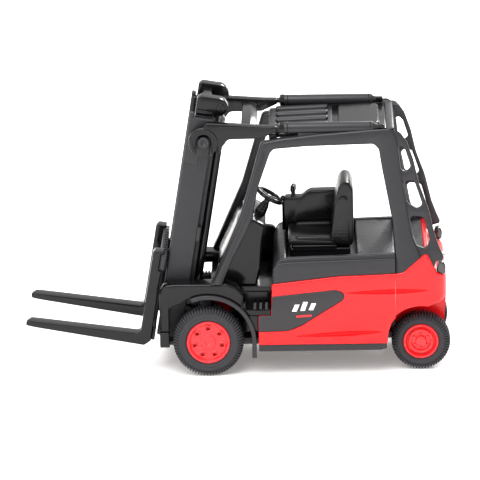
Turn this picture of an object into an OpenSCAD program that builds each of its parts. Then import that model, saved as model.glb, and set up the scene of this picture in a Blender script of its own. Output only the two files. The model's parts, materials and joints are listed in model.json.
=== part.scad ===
// Toy counterbalance forklift at 1:50 scale, in millimetres.
// +X points forward along the forks, +Y to the truck's left, +Z up.
// The origin lies on the ground, midway along the overall length.

/* [Overall] */
// Length from the rear tyres to the fork tips
overall_length = 69.4; // [69.4:0.1:70.4]
// Width across the body
body_w = 24; // [23.6:0.1:24.6]

/* [Wheels] */
// Outer diameter of the front tyres
front_tyre_d = 11.5; // [11.2:0.1:11.6]
// Width of the front tyres
front_tyre_w = 3.8; // [3.4:0.1:3.8]
// Diameter of the front hubs
front_hub_d = 7.1; // [6.8:0.1:7.4]
// Outer diameter of the rear tyres
rear_tyre_d = 9.6; // [9.4:0.1:9.8]
// Width of the rear tyres
rear_tyre_w = 3.4; // [3:0.1:3.6]
// Diameter of the rear hubs
rear_hub_d = 5.8; // [5.4:0.1:6]
// Distance between the two axles
wheelbase = 34.7; // [34.5:0.1:34.9]
// Outer face of the front tyres from the centre plane
front_track_half = 11.8; // [11.8:0.1:12]
// Outer face of the rear tyres from the centre plane
rear_track_half = 9.6; // [9.4:0.1:9.8]
// Diameter of the steel axles
axle_d = 1.5; // [1.3:0.1:1.6]

/* [Body] */
// Height of the underside of the base
base_z = 4.2; // [4.1:0.1:4.3]
// Height of the seam between the black base and the red casting
skirt_z = 5.3; // [5.2:0.1:5.4]
// Wall thickness of the red side shell
wall_t = 1.2; // [1:0.1:1.4]
// Height of the recessed deck that carries the seat
deck_z = 18; // [17.8:0.1:18.2]
// Height of the cab floor
floor_z = 14; // [13.8:0.1:14.2]
// Height of the step treads
tread_z = 11.2; // [11:0.1:11.4]

/* [Guard] */
// Inward lean of the guard's side frames in degrees
guard_lean = 3.8; // [3.4:0.1:4]
// Thickness of the guard's side frames
guard_t = 1.9; // [1.7:0.1:2]
// Upward slope of the roof toward the rear in degrees
roof_slope = 4.6; // [4.4:0.1:4.8]
// Number of slats in the roof grille
slat_count = 5; // [3:2:7]

/* [Mast] */
// Backward lean of the mast at rest in degrees
mast_lean = 9.5; // [9.3:0.1:9.7]
// Forward position of the mast pivot
pivot_x = 8.7; // [8.6:0.1:8.8]
// Height of the mast pivot
pivot_z = 9; // [8.9:0.1:9.1]
// Width across the outer mast rails
mast_w = 15.4; // [15.2:0.1:15.4]
// Depth of the outer mast rails, rear to front
mast_depth = 4.1; // [4:0.1:4.2]
// Height of the outer mast rails above the pivot
mast_rail_v = 33.6; // [33.4:0.1:33.7]
// Height of the tilt pins above the pivot, along the mast
tilt_pin_v = 30.23; // [30.1:0.01:30.3]
// Position of the tilt pins forward of the mast's rear face
tilt_pin_u = 1.29; // [1.2:0.01:1.35]
// Diameter of the tilt pins
tilt_pin_d = 1.8; // [1.6:0.1:1.8]

/* [Forks] */
// Distance from the centre plane to the middle of each fork
fork_y = 8; // [7.9:0.1:8.1]
// Width of each fork
fork_w = 2.4; // [2.2:0.1:2.4]
// Thickness of the blade at the heel
blade_t = 1.5; // [1.3:0.1:1.6]
// Thickness of the blade at the tip
tip_t = 0.8; // [0.6:0.1:0.9]

/* [Hidden] */
$fn = 48;

half_l = overall_length / 2;
half_w = body_w / 2;
rear_axle_x = -half_l + rear_tyre_d / 2;
front_axle_x = rear_axle_x + wheelbase;
front_axle_z = front_tyre_d / 2;
rear_axle_z = rear_tyre_d / 2;
// Radial running clearance of a pin or shaft that turns or slides in its bore
run_fit = 0.05;

// Seam between the side shell and the counterweight
seam_x = -25.8;
// Front ends of the red shell: behind the step, and below it
shell_front_x = -5.7;
shell_toe_x = -3.4;

// Wheel arch and mudguard round the front wheel
arch_z = front_axle_z + 0.2;
mudguard_r = 7.85;
mudguard_t = 0.7;
fender_in = front_track_half - front_tyre_w;
fender_out = 11.5;
fender_front_x = 12.7;
fender_top_z = 15.6;
toe_x = 11.2;

// Middle of the steering wheel, its rake, and the column below it
wheel_x = -5.5;
wheel_z = 27.3;
wheel_rake = 31;
column_l = 3.2;

// Overhead guard: hinge line of the lean, and the roof plane's front edge
guard_foot_z = 15.6;
roof_x = -5;
roof_z = 39.1;
roof_half_w = 8.3;

// Mast sections, from the centre plane outward
mast_half = mast_w / 2;
web_t = 0.8;
flange_t = 0.7;
channel_in = 5.5;
slide_gap = 0.15;
inner_out = mast_half - web_t - slide_gap;
inner_in = 4;
groove_out = 5.4;
groove_rear = 1.6;
groove_front = 2.6;
lift_y = 4.65;
lift_u = -1.25;
lift_barrel_d = 1.4;
lift_rod_d = 0.8;
lift_foot_v = 3.6;
pivot_pin_d = 1.5;
pivot_boss_d = 4;

// Carriage and forks, in the mast's own axes
shank_rear = 4.9;
shank_front = 6.7;
heel_v = -5.1;
carriage_top_v = 10.4;
tip_u = (half_l - pivot_x + (heel_v + 0.15) * sin(mast_lean)) / cos(mast_lean);

// Tilt linkage: the pins' place in the truck's axes, and the rods behind them
tilt_x = pivot_x + tilt_pin_u * cos(mast_lean) - tilt_pin_v * sin(mast_lean);
tilt_z = pivot_z + tilt_pin_u * sin(mast_lean) + tilt_pin_v * cos(mast_lean);
arm_in = 8.3;
arm_out = 9.9;
rod_y = 9.2;
rod_z = 41.1;
rod_d = 0.86;
rod_tail_x = -17.5;
barrel_d = 1.6;
barrel_front_x = -7.2;
barrel_rear_x = -22.7;
hook_slot_w = 2.4;

// ---- Shared shapes ----

// Extrudes an outline in the X-Z plane between two Y positions
module slab(y0, y1) {
    translate([0, y1, 0]) rotate([90, 0, 0]) linear_extrude(y1 - y0) children();
}

// A block between two corners
module block(x0, x1, y0, y1, z0, z1) {
    translate([x0, y0, z0]) cube([x1 - x0, y1 - y0, z1 - z0]);
}

// A round bar along Y between two Y positions
module bar_y(x, z, y0, y1, d) {
    translate([x, y1, z]) rotate([90, 0, 0]) cylinder(h = y1 - y0, d = d);
}

// A round bar along X between two X positions
module bar_x(y, z, x0, x1, d) {
    translate([x0, y, z]) rotate([0, 90, 0]) cylinder(h = x1 - x0, d = d);
}

// The same shape on both sides of the centre plane
module both_sides() {
    children();
    mirror([0, 1, 0]) children();
}

// The shape as drawn for the left side (1) or mirrored to the right side (-1)
module on_side(side) {
    if (side > 0) children();
    else mirror([0, 1, 0]) children();
}

// The mast's own axes: X forward of its rear face, Z up along the rails
module mast_axes() {
    translate([pivot_x, 0, pivot_z]) rotate([0, -mast_lean, 0]) children();
}

// ---- Base, body and cab ----

module base_outline() {
    polygon([[-24.3, -half_w + 1], [-23.3, -half_w + 0.1], [shell_toe_x, -half_w + 0.1],
        [shell_toe_x, half_w - 0.1], [-23.3, half_w - 0.1], [-24.3, half_w - 1]]);
}

module mast_mount_outline() {
    union() {
        polygon([[2.6, skirt_z], [2.6, 7.6], [7.6, pivot_z + 1.2], [pivot_x + 1.2, pivot_z - 1],
            [7.8, skirt_z - 0.3]]);
        translate([pivot_x, pivot_z]) circle(d = 3.2);
    }
}

module chassis_base() {
    rear_half = 5.2;
    color([0.10, 0.10, 0.11]) difference() {
        union() {
            translate([0, 0, base_z]) linear_extrude(skirt_z - base_z) base_outline();
            block(shell_toe_x, 7, -7.6, 7.6, base_z, skirt_z);
            block(7, fender_front_x, -7.6, 7.6, base_z, 4.9);
            block(-33, -24.3, -rear_half, rear_half, base_z, skirt_z);
            bar_y(front_axle_x, front_axle_z, -7.6, 7.6, 3);
            block(front_axle_x - 1.5, front_axle_x + 1.5, -7.6, 7.6, skirt_z - 0.6, front_axle_z);
            bar_y(rear_axle_x, rear_axle_z, -rear_half, rear_half, 2.7);
            both_sides() block(toe_x, fender_front_x, 7.6, 9, base_z, 4.9);
        }
        bar_y(front_axle_x, front_axle_z, -8, 8, axle_d + 2 * run_fit);
        bar_y(rear_axle_x, rear_axle_z, -6, 6, axle_d + 2 * run_fit);
        slab(-2.3, 2.3) mast_mount_outline();
        // Seats for the two rivets that hold the base on
        for (x = [-20, -9]) translate([x, 0, base_z - 0.1]) cylinder(h = 0.6, d = 2.6);
        for (x = [-20, -9]) translate([x, 0, base_z - 0.1]) cylinder(h = 2, d = 1.2);
    }
}

// Lug in the middle of the base that holds the mast's pivot pin
module mast_bracket() {
    color([0.10, 0.10, 0.11]) difference() {
        slab(-2.3, 2.3) mast_mount_outline();
        bar_y(pivot_x, pivot_z, -3, 3, pivot_pin_d + 2 * run_fit);
        bar_y(front_axle_x, front_axle_z, -3, 3, axle_d + 2 * run_fit);
    }
}

// Block in front of the wheel, below the fender
module toe_block(side) {
    color([0.11, 0.11, 0.12]) on_side(side) {
        block(toe_x, fender_front_x, fender_in, fender_out, base_z + 0.8, 7.6);
        block(toe_x, fender_front_x, fender_in, 9, 4.9, base_z + 0.9);
    }
}

// Two rivets with domed heads under the base
module base_rivets() {
    color("silver") for (x = [-20, -9]) translate([x, 0, base_z]) {
        cylinder(h = 0.5, d = 2.4);
        cylinder(h = skirt_z - base_z, d = 1.2);
    }
}

// Top line of the red casting, from the shell's front to the counterweight's rear
shell_top = [[seam_x, 17.1], [-16.4, 16.8], [shell_front_x, 15.6]];
crest = [[-33.4, 16.6], [-32.5, 17.1], [-31.1, 20], [-30.7, 20.2], [-30.3, 20], [-27, 17.3], [seam_x, 17.1]];

module panel_outline() {
    polygon([[shell_front_x, 13.5], [-16.2, 14.5], [-17.2, 14], [-17.3, 13.1], [-16.7, 12.4],
        [-14.1, 10.9], [-10.5, 8.6], [-8.2, 7.7], [shell_toe_x, 7.6], [shell_toe_x, 10.3],
        [-5.5, 10.3]]);
}

module body_shell() {
    groove = 0.25;
    color([0.85, 0.08, 0.10]) difference() {
        slab(-half_w, half_w) polygon(concat(shell_top,
            [[-5.5, 10.3], [shell_toe_x, 10.3], [shell_toe_x, skirt_z], [-24.4, skirt_z],
            [-24.6, 7.2], [-25.1, 8.7], [seam_x, 9.6]]));
        slab(-half_w + wall_t, half_w - wall_t)
            polygon([[-30, skirt_z + 1], [0, skirt_z + 1], [0, 30], [-30, 30]]);
        // Beds for the black side panels
        both_sides() slab(half_w - 0.35, half_w + 1) panel_outline();
        // Tapered styling grooves along the sides
        both_sides() slab(half_w - groove, half_w + 1)
            polygon([[-17.9, 13.75], [-17.9, 14.2], [-26.5, 14.5], [-26.5, 13.9]]);
        both_sides() slab(half_w - groove, half_w + 1)
            polygon([[-10, 6.9], [-23.2, 7.2], [-23.2, 7.7], [-12, 7.2]]);
    }
}

module side_panel(side) {
    color([0.09, 0.09, 0.10]) on_side(side)
        slab(half_w - 0.35, half_w + 0.08) panel_outline();
}

module arch_outline() {
    translate([rear_axle_x, rear_axle_z + 0.5]) circle(r = 6.2);
    polygon([[rear_axle_x - 1.2, 11.38], [-34.6, 12.7], [-36, 0], [rear_axle_x, 0]]);
}

module counterweight() {
    corner_r = 2.4;
    cheek = 5.4;
    color([0.85, 0.08, 0.10]) difference() {
        intersection() {
            slab(-half_w, half_w) polygon(concat(crest, [[seam_x, skirt_z], [-33.6, skirt_z], [-34.2, 12.4],
                [-34.2, 16]]));
            // Plan outline with rounded rear corners
            linear_extrude(40) union() {
                translate([-34.2 + corner_r, -half_w]) square([corner_r + 10, body_w]);
                translate([-34.2, -half_w + corner_r]) square([20, body_w - 2 * corner_r]);
                for (s = [-1, 1]) translate([-34.2 + corner_r, s * (half_w - corner_r)]) circle(r = corner_r);
            }
        }
        both_sides() slab(cheek, half_w + 1) arch_outline();
        both_sides() slab(half_w - 0.25, half_w + 1)
            polygon([[seam_x + 1, 13.9], [seam_x + 1, 14.5], [-30.6, 14.4], [-30.9, 14.15]]);
        // Rear axle tunnel
        slab(-cheek - 1, cheek + 1) polygon([[-32, 0], [-32, 7], [-27.8, 7], [-27.8, 0]]);
        block(-33.2, -24, -5.3, 5.3, 0, skirt_z + 0.1);
        // Tow pin recess in the rear face
        block(-36, -32.6, -2, 2, 13.2, 15.8);
        translate([-33.5, 0, 10]) cylinder(h = 8, d = 1);
        translate([-33.5, 0, 16.7]) cylinder(h = 2, d = 1.9);
    }
}

module tow_pin() {
    color("silver") translate([-33.5, 0, 12.3]) {
        cylinder(h = 4.4, d = 1);
        translate([0, 0, 4.4]) cylinder(h = 0.6, d = 1.7);
    }
}

module battery_hood() {
    rim = 1.5;
    color([0.12, 0.12, 0.13]) difference() {
        slab(-half_w, half_w) polygon([[shell_front_x, 15.6], [-6.1, 18.3], [-6.5, 19], [-7.2, 19.5],
            [-8.1, 19.8], [-16.5, 20.1], [seam_x, 20.4], [seam_x, 17.1], [-16.4, 16.8]]);
        block(seam_x - 1, -8.1, -half_w + rim, half_w - rim, deck_z, 30);
        // Ledge along the outer top edge
        both_sides() slab(half_w - 0.35, half_w + 1)
            polygon([[-5, 19.1], [-27, 19.75], [-27, 22], [-5, 22]]);
    }
}

module cab_floor() {
    color([0.12, 0.12, 0.13]) {
        block(shell_front_x, 4.4, -7.5, 7.5, floor_z - 1, floor_z);
        block(-0.9, 4.4, -fender_in, fender_in, floor_z - 1, floor_z);
        both_sides() difference() {
            block(shell_front_x + 0.25, 0.4, 6.9, half_w - 0.2, tread_z - 0.9, tread_z);
            translate([0, half_w - 4, 0]) bar_y(front_axle_x, arch_z, -6, 6, 2 * mudguard_r + 0.1);
        }
        both_sides() block(shell_front_x + 0.15, -0.3, 6.9, 7.5, skirt_z + 1, floor_z - 1);
        // Ribs across the treads
        both_sides() for (i = [0 : 5])
            block(-5.3, -2.9, 8 + 0.6 * i, 8.3 + 0.6 * i, tread_z, tread_z + 0.12);
        // Rear wall up to the battery hood and front bulkhead behind the mast
        block(-6.3, shell_front_x, -half_w + wall_t + 0.1, half_w - wall_t - 0.1, floor_z - 1, 15.6);
        block(3.6, 4.4, -7.5, 7.5, 8.8, floor_z - 1);
    }
}

module fender_outline() {
    difference() {
        union() {
            polygon([[fender_front_x, 7.6], [fender_front_x, 13.9], [12.5, 14.9], [11.8, fender_top_z - 0.1],
                [11.2, fender_top_z], [1.6, fender_top_z], [0.2, 15.1], [-1, 13.9], [-2.3, 11.8],
                [-3, 9.8], [-3.2, 7.6]]);
        }
        translate([front_axle_x, arch_z]) circle(r = mudguard_r);
        polygon([[front_axle_x, arch_z], [11.5, arch_z], [11.5, 11.7], [9.6, 12.4], [7, 13.2]]);
    }
}

module front_fender(side) {
    color([0.13, 0.13, 0.14]) on_side(side) difference() {
        slab(fender_in, fender_out) fender_outline();
        block(-8, -3.35, 0, 20, 0, 20);
        // Cutaway over the step
        block(-8, -0.95, 7, 20, tread_z - 1, 20);
    }
}

module mudguard(side) {
    color([0.15, 0.15, 0.16]) on_side(side) difference() {
        union() {
            bar_y(front_axle_x, arch_z, 10.3, half_w, 2 * mudguard_r);
            block(front_axle_x - mudguard_r, front_axle_x, 10.3, half_w, 3, arch_z);
        }
        bar_y(front_axle_x, arch_z, 10, 13, 2 * (mudguard_r - mudguard_t));
        block(front_axle_x - mudguard_r + mudguard_t, 20, 10, 13, -5, arch_z);
        block(7.5, 20, 10, 13, 0, 20);
        block(front_axle_x - 1, 20, 10, 13, -5, arch_z + 5);
    }
}

// Point on the dashboard's sloping top, s along it from the middle of the column's foot
function dash_point(s) = [
    wheel_x + column_l * sin(wheel_rake) + s * cos(wheel_rake),
    wheel_z - column_l * cos(wheel_rake) + s * sin(wheel_rake)
];

module dashboard() {
    color([0.12, 0.12, 0.13]) {
        slab(-6.6, 6.6) polygon([[3.4, floor_z], [3, 17.2], [0, 23.6], [-1.6, 25], dash_point(1.2),
            dash_point(-1.2), [-4.4, 23.2], [-2.4, 22.6], [1, 17], [1.2, floor_z]]);
        // Instrument binnacle in front of the driver
        slab(-3, 3) polygon([dash_point(1.2), [-1.6, 25], [-0.9, 25.8], [-2.1, 26.3]]);
    }
}

// Steering wheel axis, raked back toward the seat
module steering_axes() {
    translate([wheel_x, 0, wheel_z]) rotate([0, -wheel_rake, 0]) children();
}

module steering_column() {
    color([0.12, 0.12, 0.13]) steering_axes() translate([0, 0, -column_l]) {
        cylinder(h = column_l - 0.4, d = 1);
        cylinder(h = 2, d1 = 1.9, d2 = 1.3);
    }
}

module steering_wheel() {
    color([0.10, 0.10, 0.11]) steering_axes() {
        rotate_extrude() translate([2.15, 0]) circle(d = 0.55, $fn = 24);
        translate([0, 0, -0.4]) cylinder(h = 0.6, d = 1.3);
        for (a = [90, 210, 330]) rotate([0, 0, a]) translate([0, -0.22, -0.2]) cube([2.15, 0.44, 0.3]);
        // Spinner knob
        translate([-1.9, 0.9, 0]) cylinder(h = 1, d = 0.4);
        translate([-1.9, 0.9, 1]) sphere(d = 0.8);
    }
}

module seat_base() {
    color([0.13, 0.13, 0.14]) {
        block(-18.6, -8.6, -4.6, 4.6, deck_z, 19.6);
        block(-16.4, -9.2, -5, 5, 19.6, 20.1);
    }
}

module seat() {
    color([0.16, 0.16, 0.17]) {
        slab(-5, 5) polygon([[-8.7, 20.3], [-8.3, 20.8], [-8.7, 21.2], [-15.6, 20.9], [-16.2, 20.1], [-8.9, 20.1]]);
        slab(-4.4, 4.4) polygon([[-15.6, 20.9], [-16.1, 27], [-16.7, 29.6], [-17.5, 30.5], [-18.5, 30.4],
            [-19.1, 29.4], [-19.2, 20.9], [-18.8, 19.7], [-16.4, 19.7], [-16.4, 20.1], [-16.2, 20.1]]);
        both_sides() slab(4.1, 5) polygon([[-15.7, 20.4], [-15.9, 22], [-16.6, 27.2], [-18.1, 28],
            [-18.3, 20.4]]);
    }
}

module armrest_console() {
    color([0.12, 0.12, 0.13]) slab(-7.8, -5.2) polygon([[-8.1, deck_z], [-8.1, 19.85], [-7.4, 19.85], [-7.4, 24.8], [-7.8, 25.4],
        [-8.6, 25.6], [-10.8, 25.6], [-11.4, 26.2], [-12.2, 26.6], [-16.6, 26.7], [-17, 26.2],
        [-17, deck_z]]);
}

// Hydraulic levers on the front of the armrest
module control_levers() {
    color([0.10, 0.10, 0.11]) for (i = [0 : 2]) translate([-9.2 - 0.1 * i, -5.8 - 0.65 * i, 25.6]) {
        cylinder(h = 0.9, d = 0.35);
        translate([0, 0, 0.9]) cylinder(h = 0.7, d = 0.55);
    }
}

// ---- Overhead guard ----

// Side frame: pillar at the front, roof rail, and slotted pillar at the rear
module guard_outline() {
    difference() {
        polygon([[4.2, 15.6], [-0.6, 27.2], [-4.3, 39.1], [-8, 39.7], [-13.7, 40.3], [-25.4, 41.2],
            [-26.2, 40.9], [-27, 40.1], [-27.9, 38.7], [-28.9, 35.8], [-29.8, 31.8], [-31.2, 27.9],
            [-32.3, 23.2], [-33.1, 21], [-33.8, 19.4], [-32.4, 19], [-31.9, 17.4], [-31, 16], [-25.8, 16],
            [seam_x, 20.5], [-25.4, 25.7], [-23.7, 35], [-23.3, 37.8], [-22.6, 38.6], [-11.6, 38.3],
            [-6.3, 37.9], [-5.7, 37.2], [-3.9, 31.9], [-3.1, 26.3], [-2.2, 24], [-0.4, 19.9], [1.4, 15.6]]);
        // Three cooling slots down the rear pillar
        polygon([[-26.4, 37.5], [-26.8, 38], [-27.3, 37.5], [-28.2, 34.7], [-27.6, 34.2], [-27, 34.4]]);
        polygon([[-27.5, 32.2], [-28.8, 32.1], [-30, 28.3], [-29.4, 28.1], [-28, 28.9]]);
        polygon([[-28.3, 26.4], [-30.3, 26.1], [-31.2, 22.7], [-30.7, 21.4], [-29.1, 22]]);
    }
}

module roof_axes() {
    translate([roof_x, 0, roof_z]) rotate([0, roof_slope, 0]) children();
}

module overhead_guard() {
    color([0.13, 0.13, 0.14]) difference() {
        union() {
            both_sides() translate([0, half_w, guard_foot_z]) rotate([guard_lean, 0, 0])
                slab(-guard_t, 0) translate([0, -guard_foot_z]) guard_outline();
            // Front and rear headers that tie the side frames together
            roof_axes() block(-1.9, -0.6, -roof_half_w - 0.4, roof_half_w + 0.4, -0.9, 0);
            roof_axes() block(-20.9, -19.6, -roof_half_w - 0.4, roof_half_w + 0.4, -0.9, 0);
        }
        // The feet are cut to sit on the casting and on the fenders
        slab(-20, 20) polygon(concat(crest, [[seam_x, 0], [-33.4, 0]]));
        // Cradles for the tilt cylinders
        both_sides() bar_x(rod_y, rod_z, -30, -4, barrel_d + 0.1);
        both_sides() slab(8, 13) polygon([[-5, 0], [-5, 15.6], [5, 15.6], [5, 0]]);
    }
}

module roof_grille() {
    slat_w = 1.5;
    pitch = (2 * roof_half_w - slat_w) / (slat_count - 1);
    color([0.13, 0.13, 0.14]) roof_axes() {
        block(-10.9, -10.1, -roof_half_w, roof_half_w, -0.8, -0.1);
        for (i = [0 : slat_count - 1])
            block(-10.1, -1.9, -roof_half_w + i * pitch, -roof_half_w + slat_w + i * pitch, -0.8, 0.1);
    }
}

module roof_panel() {
    color([0.13, 0.13, 0.14]) roof_axes() {
        block(-19.6, -10.9, -roof_half_w, roof_half_w, -0.8, 0);
        block(-18.6, -11.9, -6.9, 6.9, 0, 0.5);
    }
}

module tilt_barrel(side) {
    lug_x = barrel_rear_x - 0.5;
    color([0.15, 0.15, 0.16]) on_side(side) difference() {
        union() {
            bar_x(rod_y, rod_z, barrel_rear_x, barrel_front_x, barrel_d);
            bar_x(rod_y, rod_z, lug_x, barrel_rear_x, 1);
        }
        bar_x(rod_y, rod_z, barrel_rear_x + 1.5, barrel_front_x + 1, rod_d + 2 * run_fit);
    }
}

module tail_lamp(side) {
    color([0.45, 0.05, 0.06]) on_side(side) slab(half_w - 2.6, half_w - 0.7)
        polygon([[-32.5, 17.2], [-32.7, 18.6], [-33.6, 18.9], [-34, 18], [-33.9, 16.9], [-33.45, 16.7]]);
}

// ---- Wheels ----

// Tyre of revolution about its own Z axis, inner face at z = 0
module tyre_shape(d, w, bore) {
    r = d / 2;
    rotate_extrude($fn = 96) polygon([[bore / 2, 0.15], [r - 0.9, 0], [r - 0.25, 0.35], [r, 0.9],
        [r, w - 0.9], [r - 0.25, w - 0.35], [r - 0.9, w], [bore / 2 + 0.35, w - 0.1], [bore / 2, w - 0.45]]);
}

// Places a wheel part with its outer face toward the side
module wheel_axes(x, z, outer, w, side) {
    on_side(side) translate([x, outer - w, z]) rotate([-90, 0, 0]) children();
}

module front_hub(side) {
    w = front_tyre_w;
    color([0.85, 0.10, 0.12]) wheel_axes(front_axle_x, front_axle_z, front_track_half, w, side) difference() {
        rotate_extrude($fn = 96) polygon([[0, 0.2], [front_hub_d / 2, 0.2], [front_hub_d / 2, w - 0.35],
            [front_hub_d / 2 - 0.15, w - 0.2], [front_hub_d / 2 - 0.45, w - 0.2], [front_hub_d / 2 - 0.6, w - 0.6],
            [1, w - 0.6], [0.85, w - 0.35], [0, w - 0.35]]);
        translate([0, 0, -1]) cylinder(h = w, d = axle_d);
        for (i = [0 : 6]) rotate([0, 0, i * 360 / 7 + 90]) translate([2.1, 0, w - 1]) cylinder(h = 1, d = 0.75);
    }
}

module rear_hub(side) {
    w = rear_tyre_w;
    r = rear_hub_d / 2;
    color([0.85, 0.10, 0.12]) wheel_axes(rear_axle_x, rear_axle_z, rear_track_half, w, side) {
        difference() {
            rotate_extrude($fn = 96) polygon([[0, 0.2], [r, 0.2], [r, w - 0.35], [r - 0.15, w - 0.2],
                [r - 0.4, w - 0.2], [r - 0.7, w - 0.7], [r - 1.05, w - 0.7], [r - 1.15, w - 0.45], [0.85, w - 0.45],
                [0.8, w - 0.1], [0, w - 0.1]]);
            translate([0, 0, -1]) cylinder(h = w, d = axle_d);
        }
        for (i = [0 : 5]) rotate([0, 0, i * 60]) translate([1.3, 0, w - 0.45]) cylinder(h = 0.18, d = 0.4);
    }
}

module front_tyre(side) {
    color([0.08, 0.08, 0.09]) wheel_axes(front_axle_x, front_axle_z, front_track_half, front_tyre_w, side)
        tyre_shape(front_tyre_d, front_tyre_w, front_hub_d);
}

module rear_tyre(side) {
    color([0.08, 0.08, 0.09]) wheel_axes(rear_axle_x, rear_axle_z, rear_track_half, rear_tyre_w, side)
        tyre_shape(rear_tyre_d, rear_tyre_w, rear_hub_d);
}

module front_axle() {
    reach = front_track_half - 1;
    color("silver") bar_y(front_axle_x, front_axle_z, -reach, reach, axle_d);
}

module rear_axle() {
    reach = rear_track_half - 1;
    color("silver") bar_y(rear_axle_x, rear_axle_z, -reach, reach, axle_d);
}

// ---- Mast ----

module mast_frame() {
    rail_foot_v = -3.6;
    horn_v = 34.3;
    color([0.16, 0.16, 0.17]) mast_axes() difference() {
        union() {
            both_sides() {
                block(0, mast_depth, mast_half - web_t, mast_half, rail_foot_v, mast_rail_v);
                block(0, flange_t, channel_in, mast_half, rail_foot_v, mast_rail_v);
                block(mast_depth - flange_t, mast_depth, channel_in, mast_half, rail_foot_v, mast_rail_v);
                block(mast_depth - flange_t, mast_depth, channel_in + 0.9, mast_half, mast_rail_v, horn_v);
                // Rear boss on the pivot pin
                bar_y(0, 0, channel_in, mast_half - 0.2, pivot_boss_d);
            }
            // Rear cross-members; the lowest carries the lift cylinders
            for (v = [13, 27.5]) block(-0.55, 0, -mast_half, mast_half, v, v + 2.4);
            block(-2.1, 0, -mast_half, mast_half, lift_foot_v - 1.4, lift_foot_v);
        }
        // The boss is cut back inside the channel, clear of the inner rails
        both_sides() block(flange_t, mast_depth - flange_t, channel_in - 1, mast_half - web_t, -8, 50);
        bar_y(0, 0, -mast_half, mast_half, pivot_pin_d);
    }
}

module mast_pivot_pin() {
    color("silver") mast_axes() bar_y(0, 0, -mast_half + 0.2, mast_half - 0.2, pivot_pin_d);
}

module tilt_pin(side) {
    head = arm_out + 0.3;
    color([0.17, 0.17, 0.18]) on_side(side) mast_axes() difference() {
        bar_y(tilt_pin_u, tilt_pin_v, mast_half, head, tilt_pin_d);
        bar_y(tilt_pin_u, tilt_pin_v, head - 0.3, head + 1, 0.5);
    }
}

module lift_barrel(side) {
    top_v = 31;
    color([0.17, 0.17, 0.18]) on_side(side) mast_axes() translate([lift_u, lift_y, 0]) difference() {
        translate([0, 0, lift_foot_v]) cylinder(h = top_v - lift_foot_v, d = lift_barrel_d);
        translate([0, 0, lift_foot_v + 1]) cylinder(h = top_v, d = lift_rod_d + 2 * run_fit);
    }
}

module lift_rod(side) {
    color("silver") on_side(side) mast_axes() translate([lift_u, lift_y, lift_foot_v + 2])
        cylinder(h = mast_rail_v + 0.2 - lift_foot_v - 2, d = lift_rod_d);
}

// Head block in side view: square in front, round over the lift rods
module head_outline(v0, v1) {
    r = (v1 - v0) / 2;
    polygon([[-1.2 + 0.3, v0], [-1.2 + 0.3, v1], [2.7, v1], [3.25, v1 - 0.5], [3.25, v0]]);
    translate([-0.9, v0 + r]) circle(r = r);
}

module inner_mast() {
    foot_v = -3.2;
    head_v = mast_rail_v + 0.2;
    head_top_v = 36.8;
    rail_rear = flange_t + slide_gap;
    rail_front = mast_depth - flange_t - slide_gap;
    color([0.14, 0.14, 0.15]) mast_axes() {
        both_sides() difference() {
            block(rail_rear, rail_front, inner_in, inner_out, foot_v, head_v);
            block(groove_rear, groove_front, inner_in - 1, groove_out, foot_v - 1, head_v - 1);
        }
        both_sides() slab(3.5, 5.8) head_outline(head_v, head_top_v);
        block(0.9, 2.4, -3.5, 3.5, head_v + 0.4, head_top_v - 0.6);
        block(rail_rear, groove_rear, -inner_in, inner_in, 2.2, 3.6);
    }
}

// ---- Carriage and forks ----

module fork_carriage() {
    bar_half = fork_y + 1;
    bar_rear = mast_depth + 0.25;
    color([0.15, 0.15, 0.16]) mast_axes() {
        block(bar_rear, 5.4, -bar_half, bar_half, carriage_top_v - 2.8, carriage_top_v);
        // The lower bar passes between the fenders as it rises
        block(bar_rear, shank_rear, -fender_in + slide_gap, fender_in - slide_gap, heel_v + 0.5, heel_v + 2.7);
        both_sides() {
            block(bar_rear, 5.3, 2.6, 3.9, heel_v + 2.7, carriage_top_v - 2.8);
            // Guide tongues that run in the inner rails
            block(groove_rear + 0.1, bar_rear, 2.6, 3.6, -0.8, 9.8);
            block(groove_rear + 0.1, groove_front - 0.1, 3.6, groove_out - slide_gap, -0.8, 9.8);
        }
    }
}

module fork_outline() {
    blade_z = heel_v + blade_t;
    polygon([[shank_rear, carriage_top_v - 2.8], [5.4, carriage_top_v - 2.8], [5.4, carriage_top_v],
        [shank_rear, carriage_top_v], [shank_rear, carriage_top_v + 0.5], [shank_front - 0.4, carriage_top_v + 0.5],
        [shank_front, carriage_top_v], [shank_front, blade_z + 0.4], [shank_front + 0.4, blade_z],
        [tip_u - 0.5, heel_v + 0.15 + tip_t], [tip_u, heel_v + 0.15 + tip_t / 2], [tip_u, heel_v + 0.15],
        [shank_rear + 0.8, heel_v], [shank_rear, heel_v + 0.5]]);
}

module fork(side) {
    y0 = fork_y - fork_w / 2;
    y1 = fork_y + fork_w / 2;
    color([0.16, 0.16, 0.17]) on_side(side) mast_axes() intersection() {
        slab(y0, y1) fork_outline();
        // Plan view: the tip narrows toward its point
        translate([0, 0, 2 * heel_v]) linear_extrude(4 * carriage_top_v)
            polygon([[0, y0], [tip_u - 3, y0], [tip_u - 0.6, y0 + 0.35], [tip_u, y0 + 0.8], [tip_u, y1 - 0.8],
                [tip_u - 0.6, y1 - 0.35], [tip_u - 3, y1], [0, y1]]);
    }
}

// ---- Tilt linkage ----

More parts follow.
